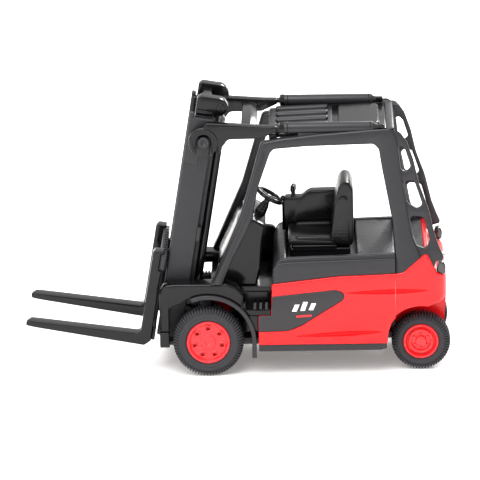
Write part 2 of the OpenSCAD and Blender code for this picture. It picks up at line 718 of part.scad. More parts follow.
module arm_outline() {
    difference() {
        union() {
            translate([tilt_x, tilt_z]) circle(r = 2.45);
            polygon([[tilt_x - 2.4, 36.8], [tilt_x - 1, tilt_z + 2.2], [tilt_x, tilt_z + 2.45], [4, 41.9],
                [-4.6, 41.55], [-7, 41.53], [-7, 40.67], [-4.4, 39.5], [0.9, 39.5], [1.7, 38.6],
                [2.6, 36.9]]);
        }
        translate([tilt_x, tilt_z]) circle(d = hook_slot_w);
        polygon([[tilt_x - hook_slot_w / 2, tilt_z], [tilt_x - hook_slot_w / 2, 30],
            [tilt_x + hook_slot_w / 2, 30], [tilt_x + hook_slot_w / 2, tilt_z]]);
    }
}

module tilt_yoke() {
    color([0.15, 0.15, 0.16]) {
        both_sides() slab(arm_in, arm_out) arm_outline();
        both_sides() bar_x(rod_y, rod_z, rod_tail_x, -6.9, rod_d);
        block(-3.6, -1.1, -arm_in, arm_in, 40.2, 41.1);
        block(-2.6, -1.1, -arm_in, arm_in, 41.1, 41.4);
    }
}

chassis_base();
body_shell();
counterweight();
side_panel(1);  // side_panel_left
side_panel(-1);  // side_panel_right
battery_hood();
cab_floor();
front_fender(1);  // front_fender_left
front_fender(-1);  // front_fender_right
toe_block(1);  // toe_block_left
toe_block(-1);  // toe_block_right
mast_bracket();
mudguard(1);  // mudguard_left
mudguard(-1);  // mudguard_right
dashboard();
steering_column();
steering_wheel();
seat_base();
seat();
armrest_console();
control_levers();
overhead_guard();
roof_grille();
roof_panel();
tilt_barrel(1);  // tilt_barrel_left
tilt_barrel(-1);  // tilt_barrel_right
tail_lamp(1);  // tail_lamp_left
tail_lamp(-1);  // tail_lamp_right
tow_pin();
base_rivets();
front_axle();
front_hub(1);  // front_hub_left
front_hub(-1);  // front_hub_right
front_tyre(1);  // front_tyre_left
front_tyre(-1);  // front_tyre_right
rear_axle();
rear_hub(1);  // rear_hub_left
rear_hub(-1);  // rear_hub_right
rear_tyre(1);  // rear_tyre_left
rear_tyre(-1);  // rear_tyre_right
mast_frame();
mast_pivot_pin();
tilt_pin(1);  // tilt_pin_left
tilt_pin(-1);  // tilt_pin_right
lift_barrel(1);  // lift_barrel_left
lift_barrel(-1);  // lift_barrel_right
inner_mast();
lift_rod(1);  // lift_rod_left
lift_rod(-1);  // lift_rod_right
fork_carriage();
fork(1);  // fork_left
fork(-1);  // fork_right
tilt_yoke();
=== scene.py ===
import json
import math

import bmesh
import bpy
from bpy.props import FloatProperty, FloatVectorProperty, IntProperty, PointerProperty
from bpy.types import Operator, Panel, PropertyGroup
from mathutils import Matrix, Vector

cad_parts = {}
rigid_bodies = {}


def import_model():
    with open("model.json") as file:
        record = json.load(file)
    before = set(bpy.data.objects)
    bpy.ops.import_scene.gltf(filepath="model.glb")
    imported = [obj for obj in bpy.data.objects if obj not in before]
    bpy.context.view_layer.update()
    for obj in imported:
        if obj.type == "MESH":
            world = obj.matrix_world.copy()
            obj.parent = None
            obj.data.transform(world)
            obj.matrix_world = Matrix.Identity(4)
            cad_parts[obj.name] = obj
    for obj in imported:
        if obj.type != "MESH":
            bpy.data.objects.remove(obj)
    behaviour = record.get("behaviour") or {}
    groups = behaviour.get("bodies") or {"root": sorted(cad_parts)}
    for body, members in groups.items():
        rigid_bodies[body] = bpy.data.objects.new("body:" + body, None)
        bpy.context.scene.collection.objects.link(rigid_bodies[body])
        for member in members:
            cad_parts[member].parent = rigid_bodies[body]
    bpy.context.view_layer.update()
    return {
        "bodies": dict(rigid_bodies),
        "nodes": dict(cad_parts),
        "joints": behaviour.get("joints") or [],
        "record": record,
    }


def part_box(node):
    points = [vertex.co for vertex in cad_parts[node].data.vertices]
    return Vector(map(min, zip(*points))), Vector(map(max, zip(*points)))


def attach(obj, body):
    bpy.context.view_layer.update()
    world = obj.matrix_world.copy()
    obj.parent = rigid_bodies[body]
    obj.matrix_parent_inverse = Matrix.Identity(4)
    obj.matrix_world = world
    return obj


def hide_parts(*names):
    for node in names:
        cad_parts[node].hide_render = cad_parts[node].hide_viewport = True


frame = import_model()

bl_info = {
    "name": "Toy Forklift",
    "version": (1, 0, 0),
    "blender": (4, 5, 0),
    "location": "View3D > Sidebar > Forklift",
    "description": "Finished surfaces for a die-cast toy counterbalance forklift",
    "category": "Object",
}

# One millimetre, in metres
MM = 0.001
# The sign of Y on each side of the truck, and the side's name
SIDES = ((1, "left"), (-1, "right"))
# Edges that turn by more than this many degrees stay sharp
SHARP = 32


# ---- Places on the truck, taken from its parts ----

def corners_of(node):
    """Lowest and highest corner of a part, in millimetres."""
    low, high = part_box(node)
    return low / MM, high / MM


def middle_of(node):
    """Middle of a part's box, in millimetres."""
    low, high = corners_of(node)
    return (low + high) / 2


BODY_LOW, BODY_HIGH = corners_of("body_shell")
HALF_WIDTH = BODY_HIGH.y
SEAM_X = BODY_LOW.x
SKIRT_Z = BODY_LOW.z
FRONT_AXLE = middle_of("front_axle")
REAR_AXLE = middle_of("rear_axle")
FRONT_TYRE_LOW, FRONT_TYRE_HIGH = corners_of("front_tyre_left")
REAR_TYRE_LOW, REAR_TYRE_HIGH = corners_of("rear_tyre_left")
MAST_PIVOT = middle_of("mast_pivot_pin")
MAST_LEAN = math.radians(9.5)
TILT_PIN = middle_of("tilt_pin_left")
ROOF_SLOPE = math.radians(4.6)
ROOF_EDGE = Vector((-5, 0, 39.1))
GUARD_LEAN = math.radians(3.8)
GUARD_FOOT_Z = 15.6
GUARD_THICK = 1.9
STEERING_RAKE = math.radians(31)
STEERING_CENTRE = Vector((-5.5, 0, 27.3))
ROD_Y = 9.2
ROD_Z = 41.1
FORK_Y = middle_of("fork_left").y


def on_truck(x, y, z):
    """A point in the truck's own axes."""
    return Vector((x, y, z)) * MM


def leaning(origin, lean, u, y, v):
    """A point u along and v up a pair of axes that lean backwards at an origin."""
    x = origin.x + u * math.cos(lean) - v * math.sin(lean)
    z = origin.z + u * math.sin(lean) + v * math.cos(lean)
    return Vector((x, y, z)) * MM


def on_mast(u, y, v):
    """A point u forward of the mast's rear face and v above its pivot, along the leaning rails."""
    return leaning(MAST_PIVOT, MAST_LEAN, u, y, v)


def along_mast(side):
    """A place on one side of the mast for a section that is drawn across a rail and drawn out along it."""
    return lambda u, v, y: on_mast(u, side * y, v)


def on_roof(a, y, c):
    """A point a forward of the roof's front edge and c above its plane."""
    return leaning(ROOF_EDGE, -ROOF_SLOPE, a, y, c)


def on_guard(x, y, z):
    """A point of a guard side frame, left or right, which leans inwards above its feet."""
    side = 1 if y > 0 else -1
    dy, dz = side * y - HALF_WIDTH, z - GUARD_FOOT_Z
    return Vector((
        x,
        side * (HALF_WIDTH + dy * math.cos(GUARD_LEAN) - dz * math.sin(GUARD_LEAN)),
        GUARD_FOOT_Z + dy * math.sin(GUARD_LEAN) + dz * math.cos(GUARD_LEAN),
    )) * MM


def on_steering(a, y, c):
    """A point in the steering wheel's own axes, with c along the raked column."""
    return leaning(STEERING_CENTRE, STEERING_RAKE, a, y, c)


def on_side(place, side):
    """The same place on the left side (1) or mirrored to the right side (-1)."""
    return lambda x, y, z: place(x, side * y, z)


def truck_side(side):
    """The truck's axes on its left side (1) or its right side (-1)."""
    return on_side(on_truck, side)


def about(place, x, z):
    """Turns a place so that a lathe's height runs along Y, about the line through (x, z)."""
    return lambda a, b, h: place(x + a, h, z + b)


def along_x(place, y, z):
    """Turns a place so that a lathe's height runs along X, about the line through (y, z)."""
    return lambda a, b, h: place(h, y + a, z + b)


def upright(place, x, y):
    """A place whose lathe axis stands upright at (x, y)."""
    return lambda a, b, h: place(x + a, y + b, h)


# ---- Shape tools ----

def rounded(corners, radius=0.0, arc_step=15):
    """An outline with its corners rounded. A corner's own radius is its third number."""
    points = []
    count = len(corners)
    for i in range(count):
        before, here, after = (Vector(corners[(i + k) % count][:2]) for k in (-1, 0, 1))
        wanted = corners[i][2] if len(corners[i]) > 2 else radius
        back, ahead = before - here, after - here
        turn = math.pi - back.angle(ahead)
        if wanted <= 0 or turn < 0.04:
            points.append(here)
            continue
        reach = min(wanted * math.tan(turn / 2), 0.48 * back.length, 0.48 * ahead.length)
        real = reach / math.tan(turn / 2)
        centre = here + (back.normalized() + ahead.normalized()).normalized() * real / math.cos(turn / 2)
        start = here + back.normalized() * reach - centre
        end = here + ahead.normalized() * reach - centre
        sweep = start.angle_signed(end)
        steps = max(2, math.ceil(math.degrees(turn) / arc_step))
        first = math.atan2(start.y, start.x)
        for k in range(steps + 1):
            angle = first - sweep * k / steps
            points.append(centre + Vector((math.cos(angle), math.sin(angle))) * real)
    return points


def dense(points, step):
    """The same outline with long edges divided, for shapes that are bent afterwards."""
    result = []
    for i, here in enumerate(points):
        after = Vector(points[(i + 1) % len(points)][:2])
        here = Vector(here[:2])
        parts = max(1, math.ceil((after - here).length / step))
        result += [here.lerp(after, k / parts) for k in range(parts)]
    return result


def circle(x, z, radius, steps=32):
    """A round outline."""
    turn = 2 * math.pi / steps
    return [Vector((x + radius * math.cos(turn * k), z + radius * math.sin(turn * k))) for k in range(steps)]


def area(points):
    """Signed area of an outline, positive when it runs anticlockwise."""
    return sum(a.cross(b) for a, b in zip(points, points[1:] + points[:1])) / 2


def inset(points, amount):
    """The outline moved towards its own material by that amount."""
    moved = []
    count = len(points)
    for i in range(count):
        before, here, after = points[i - 1], points[i], points[(i + 1) % count]
        one, two = (here - before).normalized(), (after - here).normalized()
        left_one, left_two = Vector((-one.y, one.x)), Vector((-two.y, two.x))
        share = max(1 + left_one.dot(left_two), 0.35)
        moved.append(here + (left_one + left_two) * amount / share)
    return moved


def ring_of(bm, points, place, height):
    return [bm.verts.new(place(p.x, height, p.y)) for p in points]


def bridge(bm, one, two, closed=True):
    """Faces between two rings of as many points."""
    count = len(one)
    for i in range(count if closed else count - 1):
        k = (i + 1) % count
        face = [one[i], one[k], two[k], two[i]]
        unique = [v for j, v in enumerate(face) if v not in face[:j]]
        if len(unique) > 2:
            bm.faces.new(unique)


def hold_at(points, moved, x):
    """Puts back the points that lay on a flat joint at x, so that only the other edges are rounded."""
    return [Vector((x, q.y)) if x is not None and abs(p.x - x) < 0.01 else q for p, q in zip(points, moved)]


def plate(bm, outline, y0, y1, place=on_truck, edge=0.15, holes=(), steps=3, joint_x=None):
    """A plate of that outline between two heights, with its rims rounded to the edge radius."""
    outline = [Vector(p[:2]) for p in outline]
    loops = [outline if area(outline) > 0 else outline[::-1]]
    for hole in holes:
        hole = [Vector(p[:2]) for p in hole]
        loops.append(hole[::-1] if area(hole) > 0 else hole)
    edge = min(edge, (y1 - y0) / 2)
    levels = []
    for k in range(steps + 1):
        angle = math.pi / 2 * k / steps
        levels.append((edge * (1 - math.sin(angle)), y0 + edge * (1 - math.cos(angle))))
    levels += [(amount, y0 + y1 - height) for amount, height in reversed(levels)]
    if edge <= 0:
        levels = [(0, y0), (0, y1)]
    first_edges, last_edges = [], []
    for loop in loops:
        rings = [ring_of(bm, hold_at(loop, inset(loop, amount), joint_x), place, height)
                 for amount, height in levels]
        for one, two in zip(rings, rings[1:]):
            bridge(bm, one, two)
        for ring, edges in ((rings[0], first_edges), (rings[-1], last_edges)):
            edges += [bm.edges.get((ring[i - 1], ring[i])) for i in range(len(ring))]
    for edges in (first_edges, last_edges):
        bmesh.ops.triangle_fill(bm, edges=edges, use_beauty=True)


def brick(bm, x0, x1, y0, y1, z0, z1, place=on_truck, edge=0.15, steps=3):
    """A block between two corners, with all its edges rounded."""
    outline = rounded([(x0, z0), (x1, z0), (x1, z1), (x0, z1)], edge, 90 / steps)
    plate(bm, outline, y0, y1, place, edge, steps=steps)


def lathe(bm, profile, place, segments=48, ring=False):
    """A shape of revolution. The profile is (radius, height) points, closed on itself for a ring."""
    rings = []
    for radius, height in profile:
        if radius < 1e-6:
            rings.append([bm.verts.new(place(0, 0, height))] * segments)
            continue
        rings.append([
            bm.verts.new(place(
                radius * math.cos(2 * math.pi * k / segments),
                radius * math.sin(2 * math.pi * k / segments), height))
            for k in range(segments)
        ])
    for one, two in zip(rings, rings[1:] + (rings[:1] if ring else [])):
        bridge(bm, one, two)


def turned(corners, radius=0.0, arc_step=22):
    """A lathe profile with its corners rounded, from the axis out and back to the axis."""
    points = rounded([(c[0] + 1e3, *c[1:]) for c in corners], radius, arc_step)
    return [(p.x - 1e3, p.y) for p in points]


def rod(bm, place, radius, h0, h1, edge=0.1, segments=32):
    """A round bar between two heights of a place, with rounded rims."""
    edge = min(edge, radius * 0.9, (h1 - h0) / 2.1)
    profile = turned([(0, h0, 0), (radius, h0, edge), (radius, h1, edge), (0, h1, 0)])
    lathe(bm, profile, place, segments)


def loft(bm, sections):
    """A closed skin over rings of points that are already in place."""
    rings = [[bm.verts.new(p) for p in section] for section in sections]
    for one, two in zip(rings, rings[1:]):
        bridge(bm, one, two)
    for ring in (rings[0], rings[-1]):
        edges = [bm.edges.get((ring[i - 1], ring[i])) for i in range(len(ring))]
        bmesh.ops.triangle_fill(bm, edges=edges, use_beauty=True)


def to_mesh(bm, name, sharp=SHARP):
    """Closes a bmesh into a mesh with outward faces, smooth but for its sharp edges."""
    bmesh.ops.remove_doubles(bm, verts=bm.verts, dist=2e-7)
    bmesh.ops.dissolve_degenerate(bm, edges=bm.edges, dist=1e-8)
    bmesh.ops.recalc_face_normals(bm, faces=bm.faces)
    mesh = bpy.data.meshes.new(name)
    bm.to_mesh(mesh)
    bm.free()
    shade(mesh, sharp)
    return mesh


def new_object(name, mesh):
    """Links a new object that holds that mesh."""
    obj = bpy.data.objects.new(name, mesh)
    bpy.context.scene.collection.objects.link(obj)
    return obj


def shade(mesh, sharp=SHARP):
    """Smooth faces, but for edges that turn by more than the sharp angle in degrees."""
    mesh.polygons.foreach_set("use_smooth", [True] * len(mesh.polygons))
    mesh.set_sharp_from_angle(angle=math.radians(sharp))


def discard(obj):
    """Removes an object and its mesh."""
    mesh = obj.data
    bpy.data.objects.remove(obj)
    bpy.data.meshes.remove(mesh)


def settle(obj):
    """Replaces an object's modifiers by the plain mesh that they give."""
    depsgraph = bpy.context.evaluated_depsgraph_get()
    mesh = bpy.data.meshes.new_from_object(obj.evaluated_get(depsgraph), depsgraph=depsgraph)
    mesh.name = obj.name
    old = obj.data
    obj.modifiers.clear()
    obj.data = mesh
    bpy.data.meshes.remove(old)


def cut(obj, shapes, tangled=False):
    """Cuts the closed shapes of a bmesh out of an object; tangled allows for surfaces that cross each other."""
    tool = new_object("cutter", to_mesh(shapes, "cutter"))
    modifier = obj.modifiers.new("cut", "BOOLEAN")
    modifier.operation = "DIFFERENCE"
    modifier.solver = "EXACT"
    modifier.use_self = tangled
    modifier.object = tool
    settle(obj)
    discard(tool)
    shade(obj.data)


def piece(name, shape, body, finish, replaces=()):
    """A finished piece: its material, the body it rides on and the parts it stands for."""
    obj = shape if isinstance(shape, bpy.types.Object) else new_object(name, to_mesh(shape, name))
    obj.name = name + "_finished" if replaces else name
    obj.data.materials.clear()
    obj.data.materials.append(finish)
    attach(obj, body)
    if replaces:
        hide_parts(*replaces)
    return obj


# ---- Node trees ----

def linear(code):
    """An sRGB hex colour as linear values."""
    parts = [int(code[i:i + 2], 16) / 255 for i in (1, 3, 5)]
    return [p / 12.92 if p <= 0.04045 else ((p + 0.055) / 1.055) ** 2.4 for p in parts]


def add(tree, kind, inputs=None, **settings):
    """Adds one node with its settings, and links or sets its inputs."""
    node = tree.nodes.new(kind)
    for key, value in settings.items():
        setattr(node, key, value)
    for key, value in (inputs or {}).items():
        if isinstance(value, bpy.types.NodeSocket):
            tree.links.new(value, node.inputs[key])
        else:
            node.inputs[key].default_value = value
    return node


def per_mm(size):
    """Texture scale for features of that size in millimetres."""
    return 1 / (size * MM)


def copies_tree(name, turned_copies):
    """Geometry nodes that repeat the incoming shape round an axis along Y, or in a row."""
    tree = bpy.data.node_groups.new(name, "GeometryNodeTree")
    face = tree.interface
    face.new_socket("Geometry", in_out="INPUT", socket_type="NodeSocketGeometry")
    face.new_socket("Count", in_out="INPUT", socket_type="NodeSocketInt")
    face.new_socket("Place", in_out="INPUT", socket_type="NodeSocketVector")
    face.new_socket("Step", in_out="INPUT", socket_type="NodeSocketVector")
    face.new_socket("Finish", in_out="INPUT", socket_type="NodeSocketMaterial")
    face.new_socket("Geometry", in_out="OUTPUT", socket_type="NodeSocketGeometry")
    given = add(tree, "NodeGroupInput").outputs
    points = add(tree, "GeometryNodePoints", {"Count": given["Count"]}).outputs[0]
    index = add(tree, "GeometryNodeInputIndex").outputs[0]
    shift = add(tree, "ShaderNodeVectorMath", {0: given["Step"], "Scale": index}, operation="SCALE").outputs[0]
    if turned_copies:
        copies = add(tree, "GeometryNodeInstanceOnPoints",
                     {"Points": points, "Instance": given["Geometry"], "Rotation": shift}).outputs[0]
    else:
        spread = add(tree, "GeometryNodeSetPosition", {"Geometry": points, "Position": shift}).outputs[0]
        copies = add(tree, "GeometryNodeInstanceOnPoints",
                     {"Points": spread, "Instance": given["Geometry"]}).outputs[0]
    real = add(tree, "GeometryNodeRealizeInstances", {"Geometry": copies}).outputs[0]
    moved = add(tree, "GeometryNodeTransform", {"Geometry": real, "Translation": given["Place"]}).outputs[0]
    done = add(tree, "GeometryNodeSetMaterial", {"Geometry": moved, "Material": given["Finish"]}).outputs[0]
    add(tree, "NodeGroupOutput", {0: done})
    return tree


def repeat(name, bm, tree_name, count, step, finish, place=(0, 0, 0)):
    """An object with that many copies of a shape, made by one of the copying trees."""
    tree = bpy.data.node_groups.get(tree_name) or copies_tree(tree_name, tree_name == "turned copies")
    obj = new_object(name, to_mesh(bm, name))
    modifier = obj.modifiers.new("copies", "NODES")
    modifier.node_group = tree
    values = {"Count": count, "Place": Vector(place) * MM, "Step": Vector(step), "Finish": finish}
    for item in tree.interface.items_tree:
        if item.in_out == "INPUT" and item.name in values:
            modifier[item.identifier] = values[item.name]
    settle(obj)
    return obj


def join(main, *others):
    """Adds the meshes of other objects to one object."""
    bm = bmesh.new()
    for obj in (main, *others):
        bm.from_mesh(obj.data)
    bm.to_mesh(main.data)
    bm.free()
    shade(main.data)
    for obj in others:
        discard(obj)
    return main


# ---- Finishes ----

def blank_material(name):
    """A new material with an empty node tree."""
    material = bpy.data.materials.new(name)
    material.use_nodes = True
    tree = material.node_tree
    tree.nodes.clear()
    return material, tree


def textured(name, code, roughness, spread=0.0, mottle=0.0, mottle_size=3.0, grain_size=0.3, grain_depth=0.0,
             rough_size=1.2, **shader):
    """A surface of one colour whose tone, gloss and relief vary softly at sizes given in millimetres."""
    material, tree = blank_material(name)
    where = add(tree, "ShaderNodeTexCoord").outputs["Object"]
    tone = add(tree, "ShaderNodeTexNoise", {"Vector": where, "Scale": per_mm(mottle_size), "Detail": 3.0})
    base = linear(code) if isinstance(code, str) else list(code)
    dark = [c * (1 - mottle) for c in base] + [1]
    light = [min(1, c * (1 + mottle)) for c in base] + [1]
    colour = mixed(tree, tone.outputs["Fac"], dark, light)
    gloss = add(tree, "ShaderNodeTexNoise", {"Vector": where, "Scale": per_mm(rough_size), "Detail": 2.0})
    rough = add(tree, "ShaderNodeMapRange", {
        "Value": gloss.outputs["Fac"], "From Min": 0.3, "From Max": 0.7,
        "To Min": max(0.02, roughness - spread), "To Max": roughness + spread})
    grain = add(tree, "ShaderNodeTexNoise", {"Vector": where, "Scale": per_mm(grain_size), "Detail": 1.0})
    bump = add(tree, "ShaderNodeBump", {
        "Height": grain.outputs["Fac"], "Distance": grain_depth * MM, "Strength": 1.0})
    values = {"Base Color": colour, "Roughness": rough.outputs["Result"], "Normal": bump.outputs["Normal"]}
    values.update({key.replace("_", " "): value for key, value in shader.items()})
    surface = add(tree, "ShaderNodeBsdfPrincipled", values)
    add(tree, "ShaderNodeOutputMaterial", {"Surface": surface.outputs["BSDF"]})
    return material


def mixed(tree, factor, one, two):
    """Socket with a blend of two colours."""
    node = add(tree, "ShaderNodeMix", data_type="RGBA")
    for index, value in ((0, factor), (6, one), (7, two)):
        if isinstance(value, bpy.types.NodeSocket):
            tree.links.new(value, node.inputs[index])
        else:
            node.inputs[index].default_value = value
    return node.outputs[2]


def red_enamel():
    # Sprayed and baked enamel on cast zinc: deep gloss, with a faint orange peel
    return textured("red_enamel", bpy.context.scene.forklift_colours.enamel, 0.2, spread=0.04, mottle=0.04,
                    mottle_size=5, grain_size=0.9, grain_depth=0.004, Coat_Weight=0.15, Coat_Roughness=0.08,
                    IOR=1.5, Specular_IOR_Level=0.25)


def red_abs():
    # Moulded ABS coloured through: satin gloss straight from the mould
    return textured("red_abs", bpy.context.scene.forklift_colours.hub, 0.3, spread=0.05, mottle=0.04,
                    mottle_size=2, grain_size=0.35, grain_depth=0.002, IOR=1.53)


def black_abs():
    # Moulded ABS, coloured through: even satin, a spark-eroded grain drawn a little coarse so that it shows
    return textured("black_abs", bpy.context.scene.forklift_colours.moulding, 0.36, spread=0.06, mottle=0.1,
                    mottle_size=3, grain_size=0.22, grain_depth=0.0035, IOR=1.5, Specular_IOR_Level=0.36)


def black_gloss():
    # The same plastic from a polished part of the mould: darker, with clear reflections
    return textured("black_gloss", bpy.context.scene.forklift_colours.gloss, 0.17, spread=0.04, mottle=0.1,
                    mottle_size=3, grain_size=0.6, grain_depth=0.002, IOR=1.5, Specular_IOR_Level=0.3)


def mast_satin():
    # Black ABS from a matt mould: the mast looks greyer than the body mouldings
    return textured("mast_satin", "#222124", 0.5, spread=0.06, mottle=0.08, mottle_size=3,
                    grain_size=0.22, grain_depth=0.0035, IOR=1.5, Specular_IOR_Level=0.42)


def black_print():
    # Satin black ink over the inlay: matter than the enamel round it
    return textured("black_print", "#201e21", 0.42, spread=0.04, mottle=0.08, mottle_size=2,
                    grain_size=0.3, grain_depth=0.002, IOR=1.5)


def tyre_rubber():
    # Soft vinyl tyre: matt, slightly bloomed grey, with mould mottling
    return textured("tyre_rubber", bpy.context.scene.forklift_colours.tyre, 0.62, spread=0.08, mottle=0.16,
                    mottle_size=1.4, grain_size=0.18, grain_depth=0.008, IOR=1.5)


def seat_grain():
    # Seat moulding with an embossed cloth texture, threads drawn 0.28 mm apart so that they show
    material, tree = blank_material("seat_grain")
    where = add(tree, "ShaderNodeTexCoord").outputs["Object"]
    threads = []
    for axis in ("X", "Y", "Z"):
        threads.append(add(tree, "ShaderNodeTexWave", {"Vector": where, "Scale": per_mm(0.28) / 20 * 3.1416},
                           bands_direction=axis).outputs["Fac"])
    weave = threads[0]
    for other in threads[1:]:
        weave = add(tree, "ShaderNodeMath", {0: weave, 1: other}, operation="MAXIMUM").outputs[0]
    tone = add(tree, "ShaderNodeTexNoise", {"Vector": where, "Scale": per_mm(2.0),
                                            "Detail": 3.0}).outputs["Fac"]
    colour = mixed(tree, tone, linear("#0d0c0e") + [1], linear("#161517") + [1])
    bump = add(tree, "ShaderNodeBump", {"Height": weave, "Distance": 0.02 * MM, "Strength": 0.8})
    surface = add(tree, "ShaderNodeBsdfPrincipled", {
        "Base Color": colour, "Roughness": 0.3, "Normal": bump.outputs["Normal"], "IOR": 1.45,
        "Specular IOR Level": 0.4})
    add(tree, "ShaderNodeOutputMaterial", {"Surface": surface.outputs["BSDF"]})
    return material


def drawn_steel():
    # Plain drawn wire: bright metal with a fine, even grain
    return textured("drawn_steel", "#b9b7b3", 0.3, spread=0.08, mottle=0.08, mottle_size=0.8,
                    grain_size=0.15, grain_depth=0.003, Metallic=1.0)


def lamp_lens():
    # Clear smoked moulding over a grey housing, drawn as one dark, shiny surface
    return textured("lamp_lens", "#1f1e21", 0.14, spread=0.04, mottle=0.15, mottle_size=0.8,
                    grain_size=0.3, grain_depth=0.003, IOR=1.55, Coat_Weight=0.5)


def marking(name, code):
    # Pad-printed ink: flat, dense and a little matt
    return textured(name, code, 0.5, spread=0.04, mottle=0.03, mottle_size=0.6, grain_size=0.2,
                    grain_depth=0.002, IOR=1.5)


FINISH_MAKERS = {
    "red_enamel": red_enamel, "red_abs": red_abs, "black_abs": black_abs, "black_gloss": black_gloss,
    "mast_satin": mast_satin, "black_print": black_print, "tyre_rubber": tyre_rubber, "seat_grain": seat_grain,
    "drawn_steel": drawn_steel, "lamp_lens": lamp_lens,
    "white_ink": lambda: marking("white_ink", "#f4f2f0"), "red_ink": lambda: marking("red_ink", "#d3202a"),
}


def finish(name):
    """The material of that name, made when it is first asked for."""
    return bpy.data.materials.get(name) or FINISH_MAKERS[name]()


def part(name, shape, surface="black_abs", body="truck"):
    """A finished piece that stands for the part of the same name."""
    return piece(name, shape, body, finish(surface), (name,))


# ---- Settings ----

class ForkliftColours(PropertyGroup):
    enamel: FloatVectorProperty(
        name="Enamel", description="Red of the die-cast body", subtype="COLOR", size=3,
        default=linear("#e01b1f"))
    hub: FloatVectorProperty(
        name="Hubs", description="Red of the moulded wheel hubs", subtype="COLOR", size=3,
        default=linear("#df2027"))
    moulding: FloatVectorProperty(
        name="Mouldings", description="Satin black of the plastic parts", subtype="COLOR", size=3,
        default=linear("#242326"))
    gloss: FloatVectorProperty(
        name="Polished mouldings", description="Black of the glossier plastic parts", subtype="COLOR", size=3,
        default=linear("#0c0b0d"))
    tyre: FloatVectorProperty(
        name="Tyres", description="Grey black of the tyres", subtype="COLOR", size=3,
        default=linear("#2e2c2e"))


class ForkliftSizes(PropertyGroup):
    cast_edge: FloatProperty(
        name="Cast edge radius", description="Rounding of the metal casting's edges",
        default=0.35 * MM, unit="LENGTH", precision=5)
    front_lugs: IntProperty(
        name="Front tread lugs", description="Tread lugs round each side of a front tyre", default=72)
    rear_lugs: IntProperty(
        name="Rear tread lugs", description="Tread lugs round each side of a rear tyre", default=60)
    hub_holes: IntProperty(
        name="Hub holes", description="Holes round a front hub", default=7)
    lug_height: FloatProperty(
        name="Lug height", description="How far the tread lugs stand up",
        default=0.3 * MM, unit="LENGTH", precision=5)
    roof_slats: IntProperty(
        name="Roof slats", description="Slats in the front of the roof", default=5)


def sizes():
    return bpy.context.scene.forklift_sizes


def cast_edge():
    """Edge radius of the casting, in millimetres."""
    return sizes().cast_edge / MM


# ---- Wheels ----

def tyre(name, low, high, axle, rim_d, lugs, body, side):
    """A tyre with a moulded tread: a smooth carcass with two rows of slanting lugs."""
    radius, width = (high.x - low.x) / 2, high.y - low.y
    outer = high.y
    rise = sizes().lug_height / MM
    flank = radius - 0.95
    crown = radius - rise
    place = about(truck_side(side), axle.x, axle.z)
    inner_y = outer - width
    profile = rounded([
        (rim_d / 2, inner_y + 0.2, 0.1), (rim_d / 2 + 0.5, inner_y, 0.3), (flank, inner_y + 0.05, 0.5),
        (crown, inner_y + 0.75, 0.5), (crown, outer - 0.75, 0.5), (flank, outer - 0.05, 0.5),
        (flank - 0.35, outer - 0.02, 0.1), (flank - 0.45, outer - 0.1, 0.1),
        (rim_d / 2 + 0.35, outer - 0.06, 0.15), (rim_d / 2, outer - 0.4, 0.1)])
    bm = bmesh.new()
    lathe(bm, profile, place, 120, ring=True)
    carcass = new_object(name, to_mesh(bm, name, 45))
    # One lug on each shoulder, as a bent bar that follows the crown and turns down the flank
    pitch = 2 * math.pi / lugs
    bm = bmesh.new()
    for row in (1, -1):
        middle = outer - width / 2
        spine = [(crown - 0.1, radius, 0.12), (crown - 0.1, radius, width / 2 - 0.85),
                 (crown - 0.2, radius - 0.14, width / 2 - 0.38), (flank + 0.1, flank + 0.38, width / 2 - 0.04)]
        sections = []
        for inside, outside, reach in spine:
            slant = (0.5 if row > 0 else 0) + 0.35 * reach / width
            half = pitch * (0.3 if reach > 0.2 else 0.26)
            ring = []
            for r, a in ((inside, -half), (outside, -half * 0.85), (outside, half * 0.85), (inside, half)):
                turn = a + slant * pitch
                ring.append(Vector((r * math.cos(turn), side * (middle + row * reach),
                                    r * math.sin(turn))) * MM)
            sections.append(ring)
        loft(bm, sections)
    tread = repeat(name + "_tread", bm, "turned copies", lugs, (0, pitch, 0), finish("tyre_rubber"),
                   (axle.x, 0, axle.z))
    join(carcass, tread)
    return part(name, carcass, "tyre_rubber", body)


